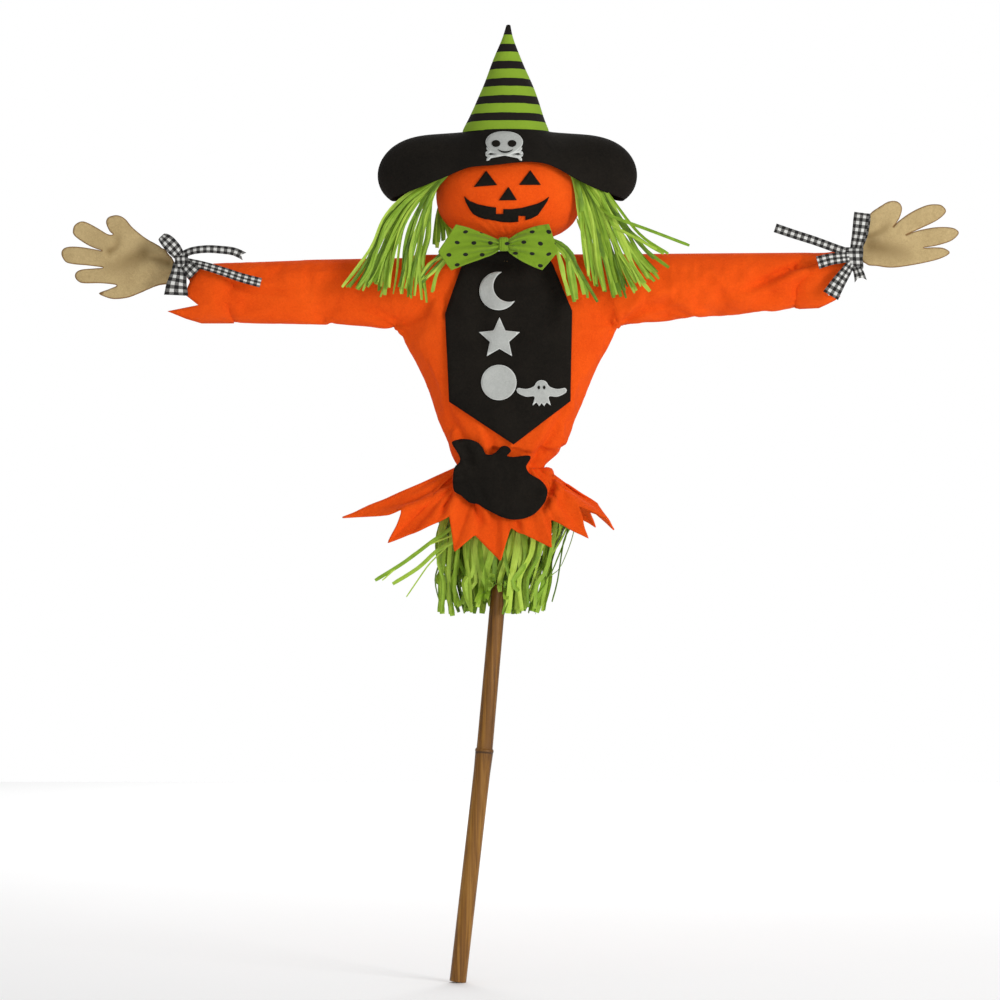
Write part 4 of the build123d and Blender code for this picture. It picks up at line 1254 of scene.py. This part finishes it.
RIBBONS = {  # (path, width at its start and end, how it differs from a plain tail)
    "ribbon_loop_left": ([
        (-289, -8, 756), (-297, -14, 766), (-305, -15, 774), (-310, -10, 778.5), (-305, -4, 775),
        (-297, -2, 766), (-289, -4, 757),
    ], (5.5, 15), {"fork": True, "across_way": (0.7, 0.1, 0.7)}),
    "ribbon_tail_upper_left": ([
        (-288, -8, 759), (-278, -14, 763.4), (-263, -17, 765.3), (-248, -17, 764.5), (-234, -17, 762.5),
        (-223, -17, 757.5),
    ], (8, 9), {"facing": (0, -1, 0.3), "fork": True}),
    "ribbon_tail_lower_left": (
        [(-284, -12, 752), (-266, -19, 748), (-246, -21, 742), (-225, -20.5, 735), (-206, -19, 730)],
        (8, 10), {},
    ),
    "ribbon_tail_short_left": (
        [(-291, -10, 751), (-292, -15, 739), (-294, -15.5, 727), (-294.5, -14, 717)], (12, 25.5), {},
    ),
    "ribbon_end_left": ([(-287, -12, 751), (-281, -18, 745), (-275, -20, 739)], (10, 17), {}),
    "ribbon_loop_right": ([
        (415, -8, 763), (419, -14, 780), (421.5, -13, 797), (422.5, -8, 803), (423, -3, 797),
        (421, -2, 780), (416, -5, 764),
    ], (9, 16.5), {"across_way": (1, 0, -0.12)}),
    "ribbon_tail_upper_right": (
        [(410, -9, 761), (396, -18, 765.5), (374, -18, 773.5), (352, -17, 780.5), (331.5, -16, 787.4)],
        (8.6, 9.4), {},
    ),
    "ribbon_tail_lower_right": (
        [(409, -16, 757), (400, -25, 756), (389, -27, 754.5), (376, -27, 751)], (10, 13.5), {},
    ),
    "ribbon_tail_short_right": (
        [(411, -18, 750), (405, -24, 741), (397, -27, 729), (389.5, -27, 716.5)], (9, 18), {},
    ),
    "ribbon_end_right": ([(415, -9, 749), (419, -14, 740), (421, -14, 731.5)], (8, 13), {"fork": True}),
}
tie(band("ribbon_band_left_cloth", -285.5, 744.5), "ribbon_band_left")
tie(band("ribbon_band_right_cloth", 405, 756.5), "ribbon_band_right")
for name, (path, width, options) in RIBBONS.items():
    nodes = [] if "end" in name else [name]
    tie(ribbon(f"{name}_cloth", path, width, **options), *nodes)
tie(knot("ribbon_knot_left_cloth", -289, 752, 13, 14.5, -15), "ribbon_knot_left")
tie(knot("ribbon_knot_right_cloth", 414.5, 756, 17.5, 22, -16), "ribbon_knot_right")


# ---- hands ----
def fold_shade(v, lines):
    """How strongly shade is painted along the felt's folds at a point, 0 to 1."""
    shade = 0.0
    for points, width, _depth in lines:
        path = spline([Vector(p) for p in points], 1.0)
        gap, step = min(((v - p).length, i) for i, p in enumerate(path))
        shade = max(shade, exp(-((gap / width) ** 2)) * (1 - 0.6 * step / len(path)))
    return shade


HANDS = {
    "hand_left": [
        (-296.6, 751.5), (-308.6, 765.9), (-325.9, 776.4), (-339.7, 787.5), (-348, 797), (-356.2, 800.6),
        (-365, 798.5), (-367.5, 792.7), (-364, 784), (-360.5, 780.6), (-366, 780.8), (-378, 788),
        (-390.9, 794), (-399, 791.5), (-402.1, 785.8), (-400.4, 778.9), (-386, 769), (-371.8, 763.3),
        (-376, 764.3), (-392, 767), (-404.7, 767.7), (-412, 765.5), (-414.2, 759.8), (-410, 752),
        (-402.1, 749.5), (-386, 748), (-371, 745.9), (-380, 745), (-393.4, 743.7), (-399, 740.5),
        (-399.9, 735.6), (-396, 731), (-390, 729.5), (-373, 729.5), (-356.8, 727.4), (-364, 723.5),
        (-374.9, 719), (-368, 715), (-358.9, 713), (-345, 714.5), (-332.8, 719), (-314, 727), (-296.6, 732),
    ],
    "hand_right": [
        (416.8, 766.7), (421, 778), (424.5, 790), (429.8, 801.1), (440, 809), (450.6, 814.9),
        (459.5, 814.6), (464, 808.1), (461, 796.9), (454.7, 788.2), (460, 794), (470.7, 801.8),
        (481, 807.5), (491.5, 811.4), (500, 812), (505.9, 810.6), (509.9, 804.2), (501.1, 795.5),
        (483.4, 786.7), (468.3, 780), (477, 783.5), (486.7, 785.9), (500, 788), (513.8, 787.9),
        (521, 785.5), (523.1, 781.1), (515.4, 773.8), (501, 769), (486.7, 766.6), (497, 767),
        (507.5, 766.2), (513.8, 761.1), (502.6, 754.7), (478.6, 749.1), (454.7, 745.9), (437, 747.6),
        (428, 749), (419.5, 756),
    ],
}
HAND_FOLDS = {  # as TUNIC_FOLDS
    "hand_left": [
        ([(-303, 751), (-316, 754.5), (-331, 759)], 4, 1.6),
        ([(-329, 760), (-345, 753), (-358, 747)], 9, 2.2),
        ([(-364, 763), (-357, 768), (-355, 776)], 4, 1.2),
    ],
    "hand_right": [
        ([(429, 778), (441.6, 784), (448.6, 789.5)], 4.5, 2.2),
        ([(432, 769), (448.6, 765), (466.7, 760.8)], 9, 2.2),
    ],
}
for name, points in HANDS.items():
    outline = spline(points, 1.8, True)
    flat, faces, edge = fill(outline, 2.6)
    wrist, verts = points[0][0], []
    for v, d in zip(flat, edge):
        far = abs(v.x - wrist)
        cup = 0.0006 * far * far * 0.35 + 1.1 * ripple(v.x * 0.035, v.y * 0.035, 4) * min(1.0, far / 20)
        pinch = 1.6 * sin(v.y * 0.75) * exp(-far / 13)
        verts.append(seen(v.x, ARM_Y + cup + pinch, v.y))
    hand = new_object(f"{name}_felt", verts, faces)
    add_tone(hand, "edge", edge)
    # painted shade: how dark the felt is painted along its folds
    add_tone(hand, "fold", [fold_shade(v, HAND_FOLDS[name]) for v in flat])
    hand.data.update()
    if hand.data.vertices[0].normal.y > 0:
        hand.data.flip_normals()
    creases(hand, HAND_FOLDS[name])
    dress(thicken(hand, 2.2), tan_felt, name, "tan_felt", name)

# ---- pieces that keep their CAD shape ----
KEPT = {
    "stake": cane, "arm_cane": cane, "cross_lashing": string, "neck_string": string,
    "bow_band": bow_cloth,
    "hand_tab_left": tan_felt, "hand_tab_right": tan_felt,
}
for name, material in KEPT.items():
    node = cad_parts[name]
    if node.data.materials:
        node.data.materials[0] = material
    else:
        node.data.materials.append(material)

# ---- camera, floor and light ----
camera_data = bpy.data.cameras.new("camera")
camera = bpy.data.objects.new("camera", camera_data)
bpy.context.collection.objects.link(camera)
camera.location = EYE * MM
camera.rotation_euler = (pi / 2, 0, 0)
camera_data.lens = camera_data.sensor_width * -EYE.y / VIEW_WIDTH
bpy.context.scene.camera = camera

floor_corners = [(-4000, -4000, -1), (4000, -4000, -1), (4000, 3200, -1), (-4000, 3200, -1)]
floor = new_object("floor", floor_corners, [(0, 1, 2, 3)])
back = Nodes("floor_paper", Roughness=0.9)
back.colour(back.mix(back.noise(3, 2), (0.93, 0.93, 0.93), (0.95, 0.95, 0.95)))
floor.data.materials.append(back.material)

world = bpy.data.worlds.new("studio")
bpy.context.scene.world = world
world.use_nodes = True
sky = world.node_tree  # white, and brighter as a backdrop than as a light
sky.nodes["Background"].inputs[0].default_value = (1.0, 1.0, 1.0, 1)
seen_directly = sky.nodes.new("ShaderNodeLightPath").outputs["Is Camera Ray"]
strength = sky.nodes.new("ShaderNodeMath")
strength.operation = "MULTIPLY_ADD"
sky.links.new(seen_directly, strength.inputs[0])
strength.inputs[1].default_value, strength.inputs[2].default_value = 0.5, 0.5
sky.links.new(strength.outputs[0], sky.nodes["Background"].inputs[1])
bpy.context.scene.view_settings.view_transform = "Standard"


def lamp(name, at, aim, size, power):
    data = bpy.data.lights.new(name, "AREA")
    data.size = size
    data.energy = power
    obj = bpy.data.objects.new(name, data)
    bpy.context.collection.objects.link(obj)
    obj.location = at
    obj.rotation_euler = (Vector(aim) - Vector(at)).to_track_quat("-Z", "Y").to_euler()


lamp("key", (2.4, -2.6, 1.2), (0.05, 0, 0.6), 1.3, 58)
lamp("behind", (0.3, 2.6, 2.4), (0.2, 0.6, 0.0), 2.4, 62)
lamp("front", (-0.3, -4.2, 0.9), (0.05, 0, 0.6), 1.5, 22)
